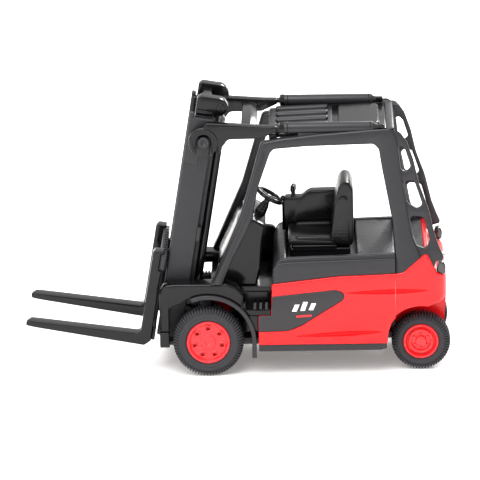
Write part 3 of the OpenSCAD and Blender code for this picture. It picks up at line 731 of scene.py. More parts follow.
def front_hub(name, side):
    """A dished hub with a raised rim, seven ringed holes and a bolted centre."""
    low, high = corners_of("front_hub_left")
    radius = (high.x - low.x) / 2
    face = FRONT_TYRE_HIGH.y
    place = about(truck_side(side), FRONT_AXLE.x, FRONT_AXLE.z)
    bm = bmesh.new()
    lathe(bm, turned([
        (0, face - 3.4, 0), (radius, face - 3.4, 0.1), (radius, face - 0.3, 0.12),
        (radius - 0.12, face - 0.12, 0.12), (radius - 0.4, face - 0.12, 0.14),
        (radius - 0.62, face - 0.52, 0.18), (2.95, face - 0.58, 0.05), (1.25, face - 0.5, 0.1),
        (1.15, face - 0.34, 0.08), (0.5, face - 0.3, 0.1), (0.42, face - 0.42, 0.05),
        (0, face - 0.42, 0)]), place, 96)
    hub = new_object(name, to_mesh(bm, name))
    holes = sizes().hub_holes
    spots = [2 * math.pi * k / holes + math.pi / 2 for k in range(holes)]
    bm = bmesh.new()
    for turn in spots:
        centre = about(truck_side(side), FRONT_AXLE.x + 2.3 * math.cos(turn),
                       FRONT_AXLE.z + 2.3 * math.sin(turn))
        rod(bm, centre, 0.4, face - 1.2, face + 0.4, 0)
    cut(hub, bm)
    # A raised ring round each hole
    bm = bmesh.new()
    ring = circle(0.46, face - 0.54, 0.13, 10)
    centre = about(truck_side(side), 0, 2.3)
    lathe(bm, ring, centre, 18, ring=True)
    rings = repeat(name + "_rings", bm, "turned copies", holes, (0, 2 * math.pi / holes, 0), finish("red_abs"),
                   (FRONT_AXLE.x, 0, FRONT_AXLE.z))
    bm = bmesh.new()
    rod(bm, about(truck_side(side), 0, 0.82), 0.15, face - 0.5, face - 0.22, 0.06, 10)
    bolts = repeat(name + "_bolts", bm, "turned copies", 5, (0, 2 * math.pi / 5, 0), finish("red_abs"),
                   (FRONT_AXLE.x, 0, FRONT_AXLE.z))
    join(hub, rings, bolts)
    return part(name, hub, "red_abs", "front_wheels")


def rear_hub(name, side):
    """A stepped hub with two rings, small bolts and a centre cap."""
    low, high = corners_of("rear_hub_left")
    radius = (high.x - low.x) / 2
    face = REAR_TYRE_HIGH.y
    place = about(truck_side(side), REAR_AXLE.x, REAR_AXLE.z)
    bm = bmesh.new()
    lathe(bm, turned([
        (0, face - 3.1, 0), (radius, face - 3.1, 0.1), (radius, face - 0.3, 0.12),
        (radius - 0.12, face - 0.14, 0.12), (radius - 0.36, face - 0.14, 0.12),
        (radius - 0.58, face - 0.85, 0.12), (2.05, face - 0.9, 0.06), (1.97, face - 0.35, 0.08),
        (1.62, face - 0.35, 0.08), (1.54, face - 0.8, 0.06), (0.92, face - 0.75, 0.06),
        (0.84, face - 0.16, 0.16), (0.3, face - 0.12, 0.1), (0, face - 0.2, 0)]),
        place, 96)
    hub = new_object(name, to_mesh(bm, name))
    bm = bmesh.new()
    rod(bm, about(truck_side(side), 0, 1.26), 0.2, face - 0.9, face - 0.5, 0.06, 10)
    bolts = repeat(name + "_bolts", bm, "turned copies", 6, (0, math.pi / 3, 0), finish("red_abs"),
                   (REAR_AXLE.x, 0, REAR_AXLE.z))
    join(hub, bolts)
    return part(name, hub, "red_abs", "rear_wheels")


class FORKLIFT_OT_wheels(Operator):
    """Tyres with moulded treads, pierced front hubs, stepped rear hubs and wire axles"""
    bl_idname = "forklift.wheels"
    bl_label = "Wheels"

    def execute(self, context):
        for side, word in SIDES:
            tyre(f"front_tyre_{word}", FRONT_TYRE_LOW, FRONT_TYRE_HIGH, FRONT_AXLE, 7.1,
                 sizes().front_lugs, "front_wheels", side)
            tyre(f"rear_tyre_{word}", REAR_TYRE_LOW, REAR_TYRE_HIGH, REAR_AXLE, 5.8,
                 sizes().rear_lugs, "rear_wheels", side)
            front_hub(f"front_hub_{word}", side)
            rear_hub(f"rear_hub_{word}", side)
        for name, body in (("front_axle", "front_wheels"), ("rear_axle", "rear_wheels")):
            low, high = corners_of(name)
            centre = middle_of(name)
            bm = bmesh.new()
            rod(bm, about(on_truck, centre.x, centre.z), (high.z - low.z) / 2, low.y, high.y, 0.15)
            part(name, bm, "drawn_steel", body)
        return {"FINISHED"}


# ---- Red body ----

def groove(bm, points, side, depth):
    """A long tapered hollow in a side face: a spindle that dips below the surface between its two ends."""
    (x0, z0), (x1, z1) = points
    start, end = Vector((x0, z0)), Vector((x1, z1))
    along = (end - start).normalized()
    across = Vector((-along.y, along.x))
    length = (end - start).length
    sections = []
    for k in range(21):
        t = k / 20
        wide = 0.06 + 1.1 * math.sin(math.pi * min(1, 0.03 + t * 0.97)) ** 0.8 * (0.5 + 0.5 * t)
        middle = start + along * length * t
        ring = []
        for j in range(12):
            turn = 2 * math.pi * j / 12
            p = middle + across * wide * math.cos(turn) * 0.5
            sag = depth * (0.1 + 1.3 * wide)
            y = HALF_WIDTH + 0.25 * sag + math.sin(turn) * sag
            ring.append(Vector((p.x, side * y, p.y)) * MM)
        sections.append(ring)
    loft(bm, sections)


UPPER_GROOVE = ((-17.7, 13.95), (-31.2, 14.25))
LOWER_GROOVE = ((-9.6, 6.75), (-23.6, 7.35))
PANEL = rounded([
    (-5.75, 13.5, 0.15), (-15.9, 14.5, 0.9), (-17.35, 14.1, 0.8), (-17.4, 12.9, 0.8), (-14.1, 10.9, 3),
    (-10.5, 8.6, 2), (-8.2, 7.7, 1.5), (-3.5, 7.6, 0.15), (-3.5, 10.25, 0.15), (-5.55, 10.3, 0.15)])
# Rear face of the casting
BACK_X = -34.2
CREST = [(BACK_X, 16.0), (-33.5, 16.6), (-32.5, 17.1), (-31.15, 20.0), (-30.7, 20.25), (-30.2, 19.95),
         (-27.1, 17.35), (SEAM_X, 17.1)]


def body_shell():
    """The red side casting: two walls on a floor, with hollows pressed in their outer faces."""
    wall = 1.25
    e = cast_edge()
    outline = rounded([
        (SEAM_X + 0.04, 17.1, 0), (-16.4, 16.8, 6), (-5.7, 15.6, 0.3), (-5.5, 10.35, 0.1), (-3.42, 10.3, 0.35),
        (-3.42, SKIRT_Z, 0.3), (-24.4, SKIRT_Z, 0.2), (-24.6, 7.2, 0.5), (-25.1, 8.7, 0.5),
        (SEAM_X + 0.04, 9.6, 0)])
    bm = bmesh.new()
    for side in (1, -1):
        plate(bm, outline, HALF_WIDTH - wall, HALF_WIDTH, truck_side(side), e * 0.7,
              joint_x=SEAM_X + 0.04)
    brick(bm, -24.4, -3.45, -HALF_WIDTH + wall, HALF_WIDTH - wall, SKIRT_Z, SKIRT_Z + 1, edge=0.05)
    shell = new_object("body_shell", to_mesh(bm, "body_shell"))
    bm = bmesh.new()
    for side in (1, -1):
        groove(bm, UPPER_GROOVE, side, 0.5)
        groove(bm, LOWER_GROOVE, side, 0.55)
        plate(bm, inset(PANEL if area(PANEL) > 0 else PANEL[::-1], -0.07), HALF_WIDTH - 0.3, HALF_WIDTH + 0.5,
              truck_side(side), 0)
    cut(shell, bm)
    return part("body_shell", shell, "red_enamel")


def soft_max(a, b, blend):
    """The larger of two numbers, blended where they are near each other."""
    near = max(blend - abs(a - b), 0) / blend
    return max(a, b) + near * near * blend / 4


def counterweight():
    """The rear casting: its side profile swept across the truck, tucked in round the rear corners."""
    corner = 3.2
    cheek = 5.4
    axle_x, axle_z = REAR_AXLE.x, REAR_AXLE.z + 0.5
    arch = 6.2
    first = math.acos((SEAM_X - axle_x) / arch)
    arch_line = [(axle_x + arch * math.cos(first + (1.75 - first) * k / 14),
                  axle_z + arch * math.sin(first + (1.75 - first) * k / 14)) for k in range(15)]
    arch_line += [(-33.2, 12.15), (BACK_X, 12.55)]
    lower_line = [(SEAM_X - (33.6 - abs(SEAM_X)) * k / 14, SKIRT_Z) for k in range(15)] + [(-34.0, 9.3),
                                                                                           (BACK_X, 12.55)]
    radii = (0.8, 0.5, 0.6, 0.5, 0.4, 0.5, 1.2, 0)
    crest = [(x, z, r) for (x, z), r in zip(CREST, radii)]
    line = rounded([(BACK_X, 10), *crest, (SEAM_X, 10)])[1:-1]
    top = []
    for a, b in zip(line, line[1:]):
        parts = math.ceil((b - a).length / 0.35)
        top += [a.lerp(b, k / parts) for k in range(parts)]
    top.append(line[-1])
    rear = [(BACK_X, 13.4), (BACK_X, 14.4), (BACK_X, 15.4)]

    def section(y):
        inner = abs(y) < cheek
        line = [Vector(p) for p in (lower_line if inner else arch_line) + rear] + top
        fold = max(0.0, abs(y) - (HALF_WIDTH - corner))
        wall_x = BACK_X + corner - math.sqrt(max(corner * corner - fold * fold, 0.0))
        line = [Vector((soft_max(p.x, wall_x, 0.35) if fold > 0 else p.x, p.y)) for p in line]
        return [Vector((min(p.x, SEAM_X), p.y)) for p in line]

    stations = [HALF_WIDTH - corner * (1 - math.sin(math.pi / 2 * k / 10)) for k in range(11)]
    ys = [cheek + (HALF_WIDTH - corner - cheek) * k / 4 for k in range(4)] + stations[:-1]
    e = cast_edge()
    bm = bmesh.new()
    rings = []
    outer = []
    for k in range(5):
        angle = math.pi / 2 * k / 4
        outer.append((HALF_WIDTH - e + e * math.sin(angle), e * (1 - math.cos(angle))))
    ys = [y for y in ys if y < HALF_WIDTH - e - 0.02]
    half = [(y, 0.0) for y in ys] + outer
    all_ys = [(-y, amount) for y, amount in reversed(half)] + [(-cheek + 1e-4, 0.0), (cheek - 1e-4, 0.0)] + half
    for y, amount in all_ys:
        points = section(y)
        if area(points) < 0:
            points.reverse()
        points = hold_at(points, inset(points, amount), SEAM_X)
        rings.append([on_truck(p.x, y, p.y) for p in points])
    loft(bm, rings)
    weight = new_object("counterweight", to_mesh(bm, "counterweight", 40))
    bm = bmesh.new()
    for side in (1, -1):
        groove(bm, UPPER_GROOVE, side, 0.5)
    brick(bm, -36, -32.6, -2, 2, 13.2, 15.8, edge=0.3)
    brick(bm, -33.8, -24, -5.2, 5.2, 0, SKIRT_Z + 0.15, edge=0.05)
    cut(weight, bm)
    return part("counterweight", weight, "red_enamel")


class FORKLIFT_OT_casting(Operator):
    """The red die-cast shell and counterweight, with the printed side panels and the tow pin"""
    bl_idname = "forklift.casting"
    bl_label = "Red casting"

    def execute(self, context):
        body_shell()
        counterweight()
        outline = PANEL if area(PANEL) > 0 else PANEL[::-1]
        for side, word in SIDES:
            bm = bmesh.new()
            plate(bm, outline, HALF_WIDTH - 0.34, HALF_WIDTH + 0.04, truck_side(side), 0.12)
            part(f"side_panel_{word}", bm, "black_print")
            # A plain printed emblem: three slanted white bars over a red rule
            bm = bmesh.new()
            for k, (height, shift) in enumerate(((1.15, 0), (1.5, 0.1), (1.15, 0.2))):
                x = -8.9 - 1.35 * k
                low = 11.0 + shift
                plate(bm, [(x, low), (x - 0.75, low), (x - 1.25, low + height), (x - 0.5, low + height)],
                      HALF_WIDTH + 0.03, HALF_WIDTH + 0.06, truck_side(side), 0)
            piece(f"emblem_bars_{word}", bm, "truck", finish("white_ink"))
            bm = bmesh.new()
            plate(bm, [(-9.6, 9.95), (-12.1, 10.1), (-12.1, 10.45), (-9.6, 10.3)],
                  HALF_WIDTH + 0.03, HALF_WIDTH + 0.06, truck_side(side), 0)
            piece(f"emblem_rule_{word}", bm, "truck", finish("red_ink"))
        bm = bmesh.new()
        lathe(bm, turned([(0, 12.3, 0), (0.5, 12.3, 0.1), (0.5, 16.7, 0.05), (0.85, 16.75, 0.1),
                          (0.85, 17.25, 0.25), (0, 17.3, 0)]), upright(on_truck, -33.5, 0), 24)
        part("tow_pin", bm, "drawn_steel")
        return {"FINISHED"}


# ---- Black base, hood, floor and fenders ----

ARCH = Vector((FRONT_AXLE.x, FRONT_AXLE.z + 0.2))
MUDGUARD_R = 7.85
FENDER_IN, FENDER_OUT = 8.0, 11.5


def arc(centre, radius, start, end, steps=24):
    """Points on an arc between two angles in degrees."""
    return [centre + Vector((math.cos(a), math.sin(a))) * radius
            for a in (math.radians(start + (end - start) * k / steps) for k in range(steps + 1))]


def base_parts():
    bm = bmesh.new()
    outline = rounded([(-24.3, -11, 0.6), (-23.4, -11.9, 0.6), (-3.45, -11.9, 0.2), (-3.45, 11.9, 0.2),
                       (-23.4, 11.9, 0.6), (-24.3, 11, 0.6)])
    plate(bm, outline, 4.2, SKIRT_Z + 0.05, lambda x, height, across: on_truck(x, -across, height), 0.12)
    base = new_object("chassis_base", to_mesh(bm, "chassis_base"))
    bm = bmesh.new()
    for x in (-20, -9):
        rod(bm, upright(on_truck, x, 0), 1.35, 3.9, 4.7, 0)
    cut(base, bm)
    bm = bmesh.new()
    brick(bm, -3.5, 7, -7.6, 7.6, 4.2, 5.3, edge=0.1)
    brick(bm, 6.9, 12.7, -7.6, 7.6, 4.2, 4.9, edge=0.1)
    for side in (1, -1):
        brick(bm, 11.2, 12.7, 7.5, 9, 4.2, 4.9, truck_side(side), 0.08)
    brick(bm, -33, -24.2, -5.2, 5.2, 4.2, 5.3, edge=0.1)
    rod(bm, about(on_truck, FRONT_AXLE.x, FRONT_AXLE.z), 1.5, -7.6, 7.6, 0.15)
    brick(bm, FRONT_AXLE.x - 1.5, FRONT_AXLE.x + 1.5, -7.6, 7.6, 4.7, FRONT_AXLE.z, edge=0.05)
    rod(bm, about(on_truck, REAR_AXLE.x, REAR_AXLE.z), 1.35, -5.2, 5.2, 0.15)
    join(base, new_object("chassis_axle_cradles", to_mesh(bm, "chassis_axle_cradles")))
    part("chassis_base", base)
    bm = bmesh.new()
    for x in (-20, -9):
        lathe(bm, turned([(0, 4.22, 0), (0.7, 4.24, 0.3), (1.2, 4.5, 0.15), (1.2, 4.75, 0.05), (0, 4.75, 0)]),
              upright(on_truck, x, 0), 28)
    part("base_rivets", bm, "drawn_steel")
    bm = bmesh.new()
    boss = [MAST_PIVOT.x, MAST_PIVOT.z]
    outline = rounded([(2.6, 5.25, 0.1), (2.6, 7.6, 0.5), (7.6, boss[1] + 1.3, 0.8),
                       (boss[0] + 0.9, boss[1] + 1.3, 1.2), (boss[0] + 1.4, boss[1] - 0.9, 1.0),
                       (7.8, 4.95, 0.3)])
    plate(bm, outline, -2.3, 2.3, edge=0.15)
    part("mast_bracket", bm)
    for side, word in SIDES:
        bm = bmesh.new()
        brick(bm, 11.2, 12.7, FENDER_IN, FENDER_OUT, 5.0, 7.48, truck_side(side), 0.15)
        brick(bm, 11.3, 12.6, FENDER_IN + 0.05, 8.95, 4.85, 5.2, truck_side(side), 0.02)
        part(f"toe_block_{word}", bm, "black_gloss")


def battery_hood():
    """The black sill and deck round the seat, with a stepped upper edge and a rounded front."""
    outline = rounded([
        (-5.72, 15.62, 0.1), (-5.95, 18.2, 0.8), (-6.7, 19.5, 1.2), (-8.3, 19.85, 2), (-16.5, 20.12, 4),
        (SEAM_X, 20.4, 0.3), (SEAM_X, 17.12, 0), (-16.4, 16.82, 6)])
    bm = bmesh.new()
    for side in (1, -1):
        place = truck_side(side)
        plate(bm, outline, HALF_WIDTH - 1.5, HALF_WIDTH - 0.38, place, 0.22)
        lower = rounded([
            (-5.74, 15.64, 0.1), (-5.93, 18.15, 0.8), (-6.6, 19.05, 1.0), (-8.3, 19.25, 2), (-16.5, 19.5, 4),
            (SEAM_X, 19.72, 0.15), (SEAM_X, 17.14, 0), (-16.4, 16.84, 6)])
        plate(bm, lower, HALF_WIDTH - 0.9, HALF_WIDTH, place, 0.2)
    # Deck between the sills, and the front edge under the driver's knees
    brick(bm, SEAM_X, -6.6, -10.7, 10.7, 16.9, 18.0, edge=0.08)
    brick(bm, SEAM_X, -19.5, -10.9, 10.9, 17.5, 20.1, edge=0.3)
    plate(bm, [(SEAM_X - 0.02, 17.3), (-27.1, 17.55), (-30.25, 20.05), (-30.4, 20.32), (SEAM_X - 0.02, 20.1)],
          -10.6, 10.6, edge=0.05)
    front = rounded([(-5.75, 15.62, 0.1), (-6.0, 18.2, 0.8), (-6.7, 19.45, 1.0), (-8.1, 19.75, 0.3),
                     (-8.1, 16.5, 0.1)])
    plate(bm, front, -10.8, 10.8, edge=0.1)
    part("battery_hood", bm)


def cab_floor():
    bm = bmesh.new()
    brick(bm, -5.7, 4.4, -7.5, 7.5, 13, 14, edge=0.12)
    brick(bm, -0.9, 4.4, -FENDER_IN, FENDER_IN, 13.02, 13.98, edge=0.1)
    brick(bm, -6.3, -5.7, -10.6, 10.6, 13, 15.62, edge=0.08)
    brick(bm, 3.6, 4.4, -7.5, 7.5, 8.8, 13.1, edge=0.08)
    for side in (1, -1):
        place = truck_side(side)
        brick(bm, -5.5, -0.3, 6.9, 7.5, 6.3, 13.05, place, 0.05)
        # Tread with a rounded lip, kept clear of the mudguard behind it
        plate(bm, [(-5.45, 10.3), (-2.1, 10.3), (-1.3, 11.2), (-5.45, 11.2)], 6.9, 11.8, place, 0.15)
    # Low wall along the right of the foot well
    wall = rounded([(-6.2, 11.4, 0.1), (-6.2, 19.2, 0.5), (-3.5, 19.6, 0.5), (0.2, 19.6, 0.5),
                    (1.9, 15.9, 0.1), (1.9, 13.5, 0.1), (-0.9, 13.5, 0.1), (-1.6, 11.4, 0.1)])
    plate(bm, wall, -HALF_WIDTH + 0.4, -HALF_WIDTH + 1.4, edge=0.2)
    floor = new_object("cab_floor", to_mesh(bm, "cab_floor"))
    # Anti-slip bars across both treads
    ribs = []
    for side in (1, -1):
        bm = bmesh.new()
        for x in (-5.05, -4.1, -3.15):
            brick(bm, x, x + 0.55, side * 7.95 - 0.1, side * 7.95 + 0.1, 11.12, 11.36, edge=0.06, steps=1)
        ribs.append(repeat("tread_ribs", bm, "row of copies", 7, (0, side * 0.55 * MM, 0), finish("black_abs")))
    join(floor, *ribs)
    part("cab_floor", floor, "black_gloss")


def fenders():
    outline = [(12.7, 7.62, 0.1), (12.7, 13.9, 1.4), (11.9, 15.4, 1.2), (10.6, 15.6, 0.4), (1.6, 15.6, 1.2),
               (0.2, 15.0, 1.4), (-1.0, 13.8, 1.0), (-0.95, 11.2, 0.1)]
    cove = arc(ARCH, MUDGUARD_R, 137, 56, 22)
    low = [Vector((9.2, 12.35)), Vector((10.4, 11.9)), Vector((11.15, 11.5)), Vector((11.15, 7.62))]
    points = rounded(outline) + [p for p in cove if p.x > -0.95 and p.x < 8.8] + low
    for side, word in SIDES:
        place = truck_side(side)
        bm = bmesh.new()
        plate(bm, points, FENDER_IN, FENDER_OUT, place, 0.3)
        # Skirt in front of the step, behind the wheel
        plate(bm, [(-3.34, 7.65), (-3.34, 10.2), (-1.9, 10.2), (-2.75, 7.65)],
              FENDER_IN, FENDER_OUT, place, 0.1)
        part(f"front_fender_{word}", bm, "black_gloss")
        # Mudguard: a lip round the rear and top of the wheel, a little flared at its ends
        bm = bmesh.new()
        outer = arc(ARCH, MUDGUARD_R, 180, 69, 40)
        inner = arc(ARCH, MUDGUARD_R - 0.7, 180, 69, 40)
        tail = [Vector((ARCH.x - MUDGUARD_R, 3.1))]
        tail_in = [Vector((ARCH.x - MUDGUARD_R + 0.72, 3.1))]
        guard = tail + outer + inner[::-1] + tail_in
        plate(bm, guard, 10.3, HALF_WIDTH, place, 0.16)
        # The web that joins the lip to the fender
        plate(bm, arc(ARCH, MUDGUARD_R - 0.05, 176, 72, 36) + arc(ARCH, MUDGUARD_R - 0.65, 72, 176, 36),
              10.2, 11.4, place, 0.05)
        part(f"mudguard_{word}", bm)


class FORKLIFT_OT_base(Operator):
    """The black base, sill and deck, cab floor with its treads, fenders, mudguards and tail lamps"""
    bl_idname = "forklift.base"
    bl_label = "Black body parts"

    def execute(self, context):
        base_parts()
        battery_hood()
        cab_floor()
        fenders()
        for side, word in SIDES:
            bm = bmesh.new()
            outline = rounded([(-32.5, 17.2, 0.2), (-32.7, 18.6, 0.4), (-33.6, 18.9, 0.4), (-34, 18, 0.5),
                               (-33.9, 16.9, 0.3), (-33.45, 16.7, 0.1)])
            plate(bm, outline, HALF_WIDTH - 2.6, HALF_WIDTH - 0.7, truck_side(side), 0.25)
            part(f"tail_lamp_{word}", bm, "lamp_lens")
        return {"FINISHED"}


# ---- Driver's place ----

class FORKLIFT_OT_cab(Operator):
    """Dashboard, steering wheel on its column, seat, armrest and levers"""
    bl_idname = "forklift.cab"
    bl_label = "Driver's place"

    def execute(self, context):
        self.controls()
        self.seat()
        return {"FINISHED"}

    def controls(self):
        ahead = on_steering(1.25, 0, -3.2) / MM
        behind = on_steering(-1.25, 0, -3.2) / MM
        bm = bmesh.new()
        plate(bm, rounded([(3.4, 14, 0.1), (3.0, 17.2, 1.5), (0, 23.6, 1.0), (-1.6, 25, 0.5),
                           (ahead.x, ahead.z, 0.3), (behind.x, behind.z, 0.4), (-4.5, 23.4, 0.5),
                           (-4.2, 21.5, 0.6), (-3.9, 17, 1.5), (-3.2, 14, 0.1)]),
              -6.9, 6.9, edge=0.35)
        plate(bm, rounded([(ahead.x - 0.2, ahead.z - 0.1, 0.1), (-1.5, 24.8, 0.2), (-0.9, 25.8, 0.3),
                           (-2.1, 26.3, 0.3)]),
              -3, 3, edge=0.25)
        # Pedals and their lever below the dash
        brick(bm, -0.4, 1.3, -2.6, -1.2, 14.6, 14.95, edge=0.12)
        brick(bm, -0.4, 1.3, 1.2, 2.6, 14.6, 14.95, edge=0.12)
        part("dashboard", bm, "black_gloss")
        bm = bmesh.new()
        lathe(bm, turned([(0, -3.3, 0), (0.95, -3.3, 0.1), (0.9, -2.7, 0.1), (0.65, -1.4, 0.2),
                          (0.5, -1.2, 0.1), (0.5, -0.38, 0.05), (0, -0.38, 0)]), on_steering, 28)
        # Rings of the rubber boot
        for c in (-2.9, -2.4, -1.95):
            lathe(bm, circle(0.84 + (c + 2.9) * -0.14, c, 0.14, 8), on_steering, 28, ring=True)
        part("steering_column", bm, "black_gloss")
        bm = bmesh.new()
        lathe(bm, circle(2.15, 0, 0.36, 14), on_steering, 64, ring=True)
        lathe(bm, turned([(0, -0.4, 0), (0.65, -0.4, 0.1), (0.62, 0.1, 0.2), (0, 0.22, 0)]), on_steering, 28)
        for turn in (90, 210, 330):
            c, s = math.cos(math.radians(turn)), math.sin(math.radians(turn))
            arm = lambda a, b, h, c=c, s=s: on_steering(a * c - b * s, a * s + b * c, h - 0.12 + 0.05 * a)
            brick(bm, 0.3, 2.15, -0.2, 0.2, -0.14, 0.14, lambda a, b, h, arm=arm: arm(a, b, h), 0.09)
        rod(bm, lambda a, b, h: on_steering(-1.9 + a, 0.9 + b, h), 0.2, -0.05, 0.9, 0.05, 14)
        knob = lambda a, b, h: on_steering(-1.9 + a, 0.9 + b, h)
        lathe(bm, [(0.42 * math.sin(math.pi * k / 10),
                    1.0 - 0.42 * math.cos(math.pi * k / 10)) for k in range(11)],
              knob, 18)
        part("steering_wheel", bm, "black_gloss")

    def seat(self):
        bm = bmesh.new()
        brick(bm, -18.6, -8.7, -4.6, 4.6, 17.95, 19.6, edge=0.3)
        brick(bm, -16.4, -9.1, -5, 5, 19.5, 20.15, edge=0.2)
        part("seat_base", bm, "black_gloss")
        bm = bmesh.new()
        # Cushion with a rolled front, side bolsters, and a tall back between two wings
        plate(bm, rounded([(-8.75, 20.15, 0.3), (-8.25, 20.8, 0.5), (-8.8, 21.3, 0.6), (-15.6, 20.95, 0.4),
                           (-16.2, 20.1, 0.1)]),
              -5, 5, edge=0.4)
        for side in (1, -1):
            plate(bm, rounded([(-9.4, 20.8, 0.4), (-9.8, 21.6, 0.6), (-15.4, 21.7, 0.5), (-16, 20.5, 0.2)]),
                  3.7, 4.95, truck_side(side), 0.4)
        back = rounded([(-15.6, 20.9, 0.2), (-16.1, 27, 4), (-16.7, 29.6, 1.5), (-17.4, 30.5, 0.8),
                        (-18.5, 30.4, 0.8), (-19.15, 29.2, 1.5), (-19.2, 20.9, 0.6), (-18.8, 19.7, 0.4),
                        (-16.3, 19.8, 0.2)])
        plate(bm, back, -4.3, 4.3, edge=0.4, steps=4)
        for side in (1, -1):
            plate(bm, rounded([(-15.4, 20.4, 0.3), (-15.5, 22, 1.0), (-16.2, 27.2, 1.2), (-17.2, 28.3, 0.8),
                               (-18.2, 28, 0.6), (-18.4, 20.4, 0.3)]), 3.9, 5, truck_side(side), 0.22)
        part("seat", bm, "seat_grain")
        bm = bmesh.new()
        plate(bm, rounded([
            (-8.1, 18, 0.05), (-8.1, 19.85, 0.1), (-7.42, 19.87, 0.2), (-7.4, 24.8, 0.6), (-8.0, 25.55, 0.5),
            (-10.7, 25.6, 0.6), (-11.4, 26.2, 0.5), (-12.2, 26.62, 0.6), (-16.5, 26.7, 0.6), (-17, 25.6, 0.4),
            (-17, 18, 0.1)]),
            -7.8, -5.2, edge=0.4)
        part("armrest_console", bm, "black_gloss")
        bm = bmesh.new()
        lathe(bm, turned([(0, 0, 0), (0.28, 0, 0.02), (0.24, 0.7, 0.05), (0.42, 0.85, 0.1),
                          (0.38, 1.75, 0.15), (0, 1.9, 0)]),
              on_truck, 16)
        levers = repeat("control_levers", bm, "row of copies", 3, (-0.1 * MM, -0.65 * MM, 0),
                        finish("black_gloss"), (-9.2, -5.85, 25.55))
        part("control_levers", levers, "black_gloss")


# ---- Overhead guard ----

SLOTS = (
    [(-26.45, 37.4), (-26.8, 38), (-27.35, 37.4), (-28.2, 34.7), (-27.6, 34.2), (-27.05, 34.4)],
    [(-27.5, 32.2), (-28.8, 32.1), (-30, 28.5), (-29.5, 28.05), (-28.1, 28.9)],
    [(-28.4, 26.4), (-30.3, 26.1), (-31.2, 22.7), (-30.7, 21.4), (-29.2, 22)],
)


def guard_side(layers, place):
    """One side frame: front pillar, roof rail and rear pillar, with a thinner slotted web behind."""
    frame, web, trim = layers
    frame_line = rounded([
        (4.3, 15.5, 0.1), (-0.8, 27.2, 6), (-4.3, 39.1, 0.9), (-8, 39.75, 3), (-13.7, 40.35, 8),
        (-25.3, 41.2, 0.9), (-26.3, 39.6, 2), (-26.9, 34, 20), (-28.4, 24, 10), (-30.0, 19.9, 1.5),
        (-31.3, 15.9, 0.1), (-25.8, 16, 0.1), (SEAM_X, 20.5, 0.3), (-25.4, 25.7, 12), (-23.7, 35, 12),
        (-23.3, 37.7, 0.9), (-22.5, 38.55, 0.9), (-11.6, 38.3, 10), (-6.3, 37.9, 0.7), (-5.7, 37.2, 0.7),
        (-3.8, 31.9, 10), (-2.7, 26.6, 6), (-1.6, 24, 4), (0.6, 19.9, 5), (2.5, 15.5, 0.1)])
    plate(frame, frame_line, HALF_WIDTH - GUARD_THICK, HALF_WIDTH, place, 0.42)
    web_line = rounded([
        (-25.2, 41.05, 0.5), (-26.2, 40.85, 0.8), (-27, 40.05, 0.8), (-27.9, 38.7, 1.5), (-28.9, 35.8, 6),
        (-29.8, 31.8, 8), (-31.2, 27.9, 8), (-32.3, 23.2, 4), (-33.1, 21, 2), (-33.8, 19.4, 0.4),
        (-32.4, 19, 0.3), (-31.9, 17.4, 0.4), (-31, 16, 0.2), (-27.5, 16, 0.2), (-26.0, 24, 0), (-25, 34, 0)])
    holes = [inset(rounded(slot, 0.4), -0.25) for slot in SLOTS]
    plate(web, web_line, HALF_WIDTH - 1.25, HALF_WIDTH - 0.28, place, 0.2, holes=holes)
    # Kerb under the tilt cylinder, and a rib along the front pillar
    plate(trim, [(-10.2, 39.6), (-10.4, 40.9), (-22, 41.1), (-22, 40.2)], HALF_WIDTH - 1.9,
          HALF_WIDTH - 0.5, place,
          0.15)
    plate(trim, [(3.3, 16.6), (-1.55, 27.4), (-4.5, 37.4), (-4.9, 37.4), (-2.0, 27.3), (2.8, 16.6)],
          HALF_WIDTH - 0.2, HALF_WIDTH + 0.14, place, 0.1)


def guard_seats():
    """What the guard stands on and carries: casting, fenders and the tilt cylinders in their cradles."""
    bm = bmesh.new()
    under = [(-36.0, 0), (SEAM_X, 0), (SEAM_X, 17.1), (-27.1, 17.35), (-30.2, 19.95), (-30.7, 20.25),
             (-31.15, 20.0), (-32.5, 17.1), (-33.5, 16.6), (-36.0, 16.0)]
    plate(bm, under, -13, 13, edge=0)
    for side in (1, -1):
        rod(bm, along_x(truck_side(side), ROD_Y, ROD_Z), 0.98, -30, -4, 0)
        plate(bm, [(-5, 10), (5, 10), (5, 15.6), (-5, 15.6)], 8, 13, truck_side(side), 0)
    return bm


def overhead_guard():
    layers = [bmesh.new() for _ in range(3)]
    for side in (1, -1):
        guard_side(layers, on_side(on_guard, side))
    parts = []
    for bm in layers:
        layer = new_object("overhead_guard", to_mesh(bm, "overhead_guard"))
        cut(layer, guard_seats(), tangled=True)
        parts.append(layer)
    bm = bmesh.new()
    brick(bm, -1.9, -0.6, -8.7, 8.7, -0.9, 0.8, on_roof, 0.2)
    brick(bm, -20.9, -19.6, -8.7, 8.7, -0.9, 0, on_roof, 0.2)
    guard = join(*parts, new_object("guard_cross_bars", to_mesh(bm, "guard_cross_bars")))
    return part("overhead_guard", guard)


def on_roof_panel(a, y, c):
    """Point on the roof panel, which rises a little from the rails towards the front."""
    return on_roof(a, y, c + 0.045 * (20 + a))


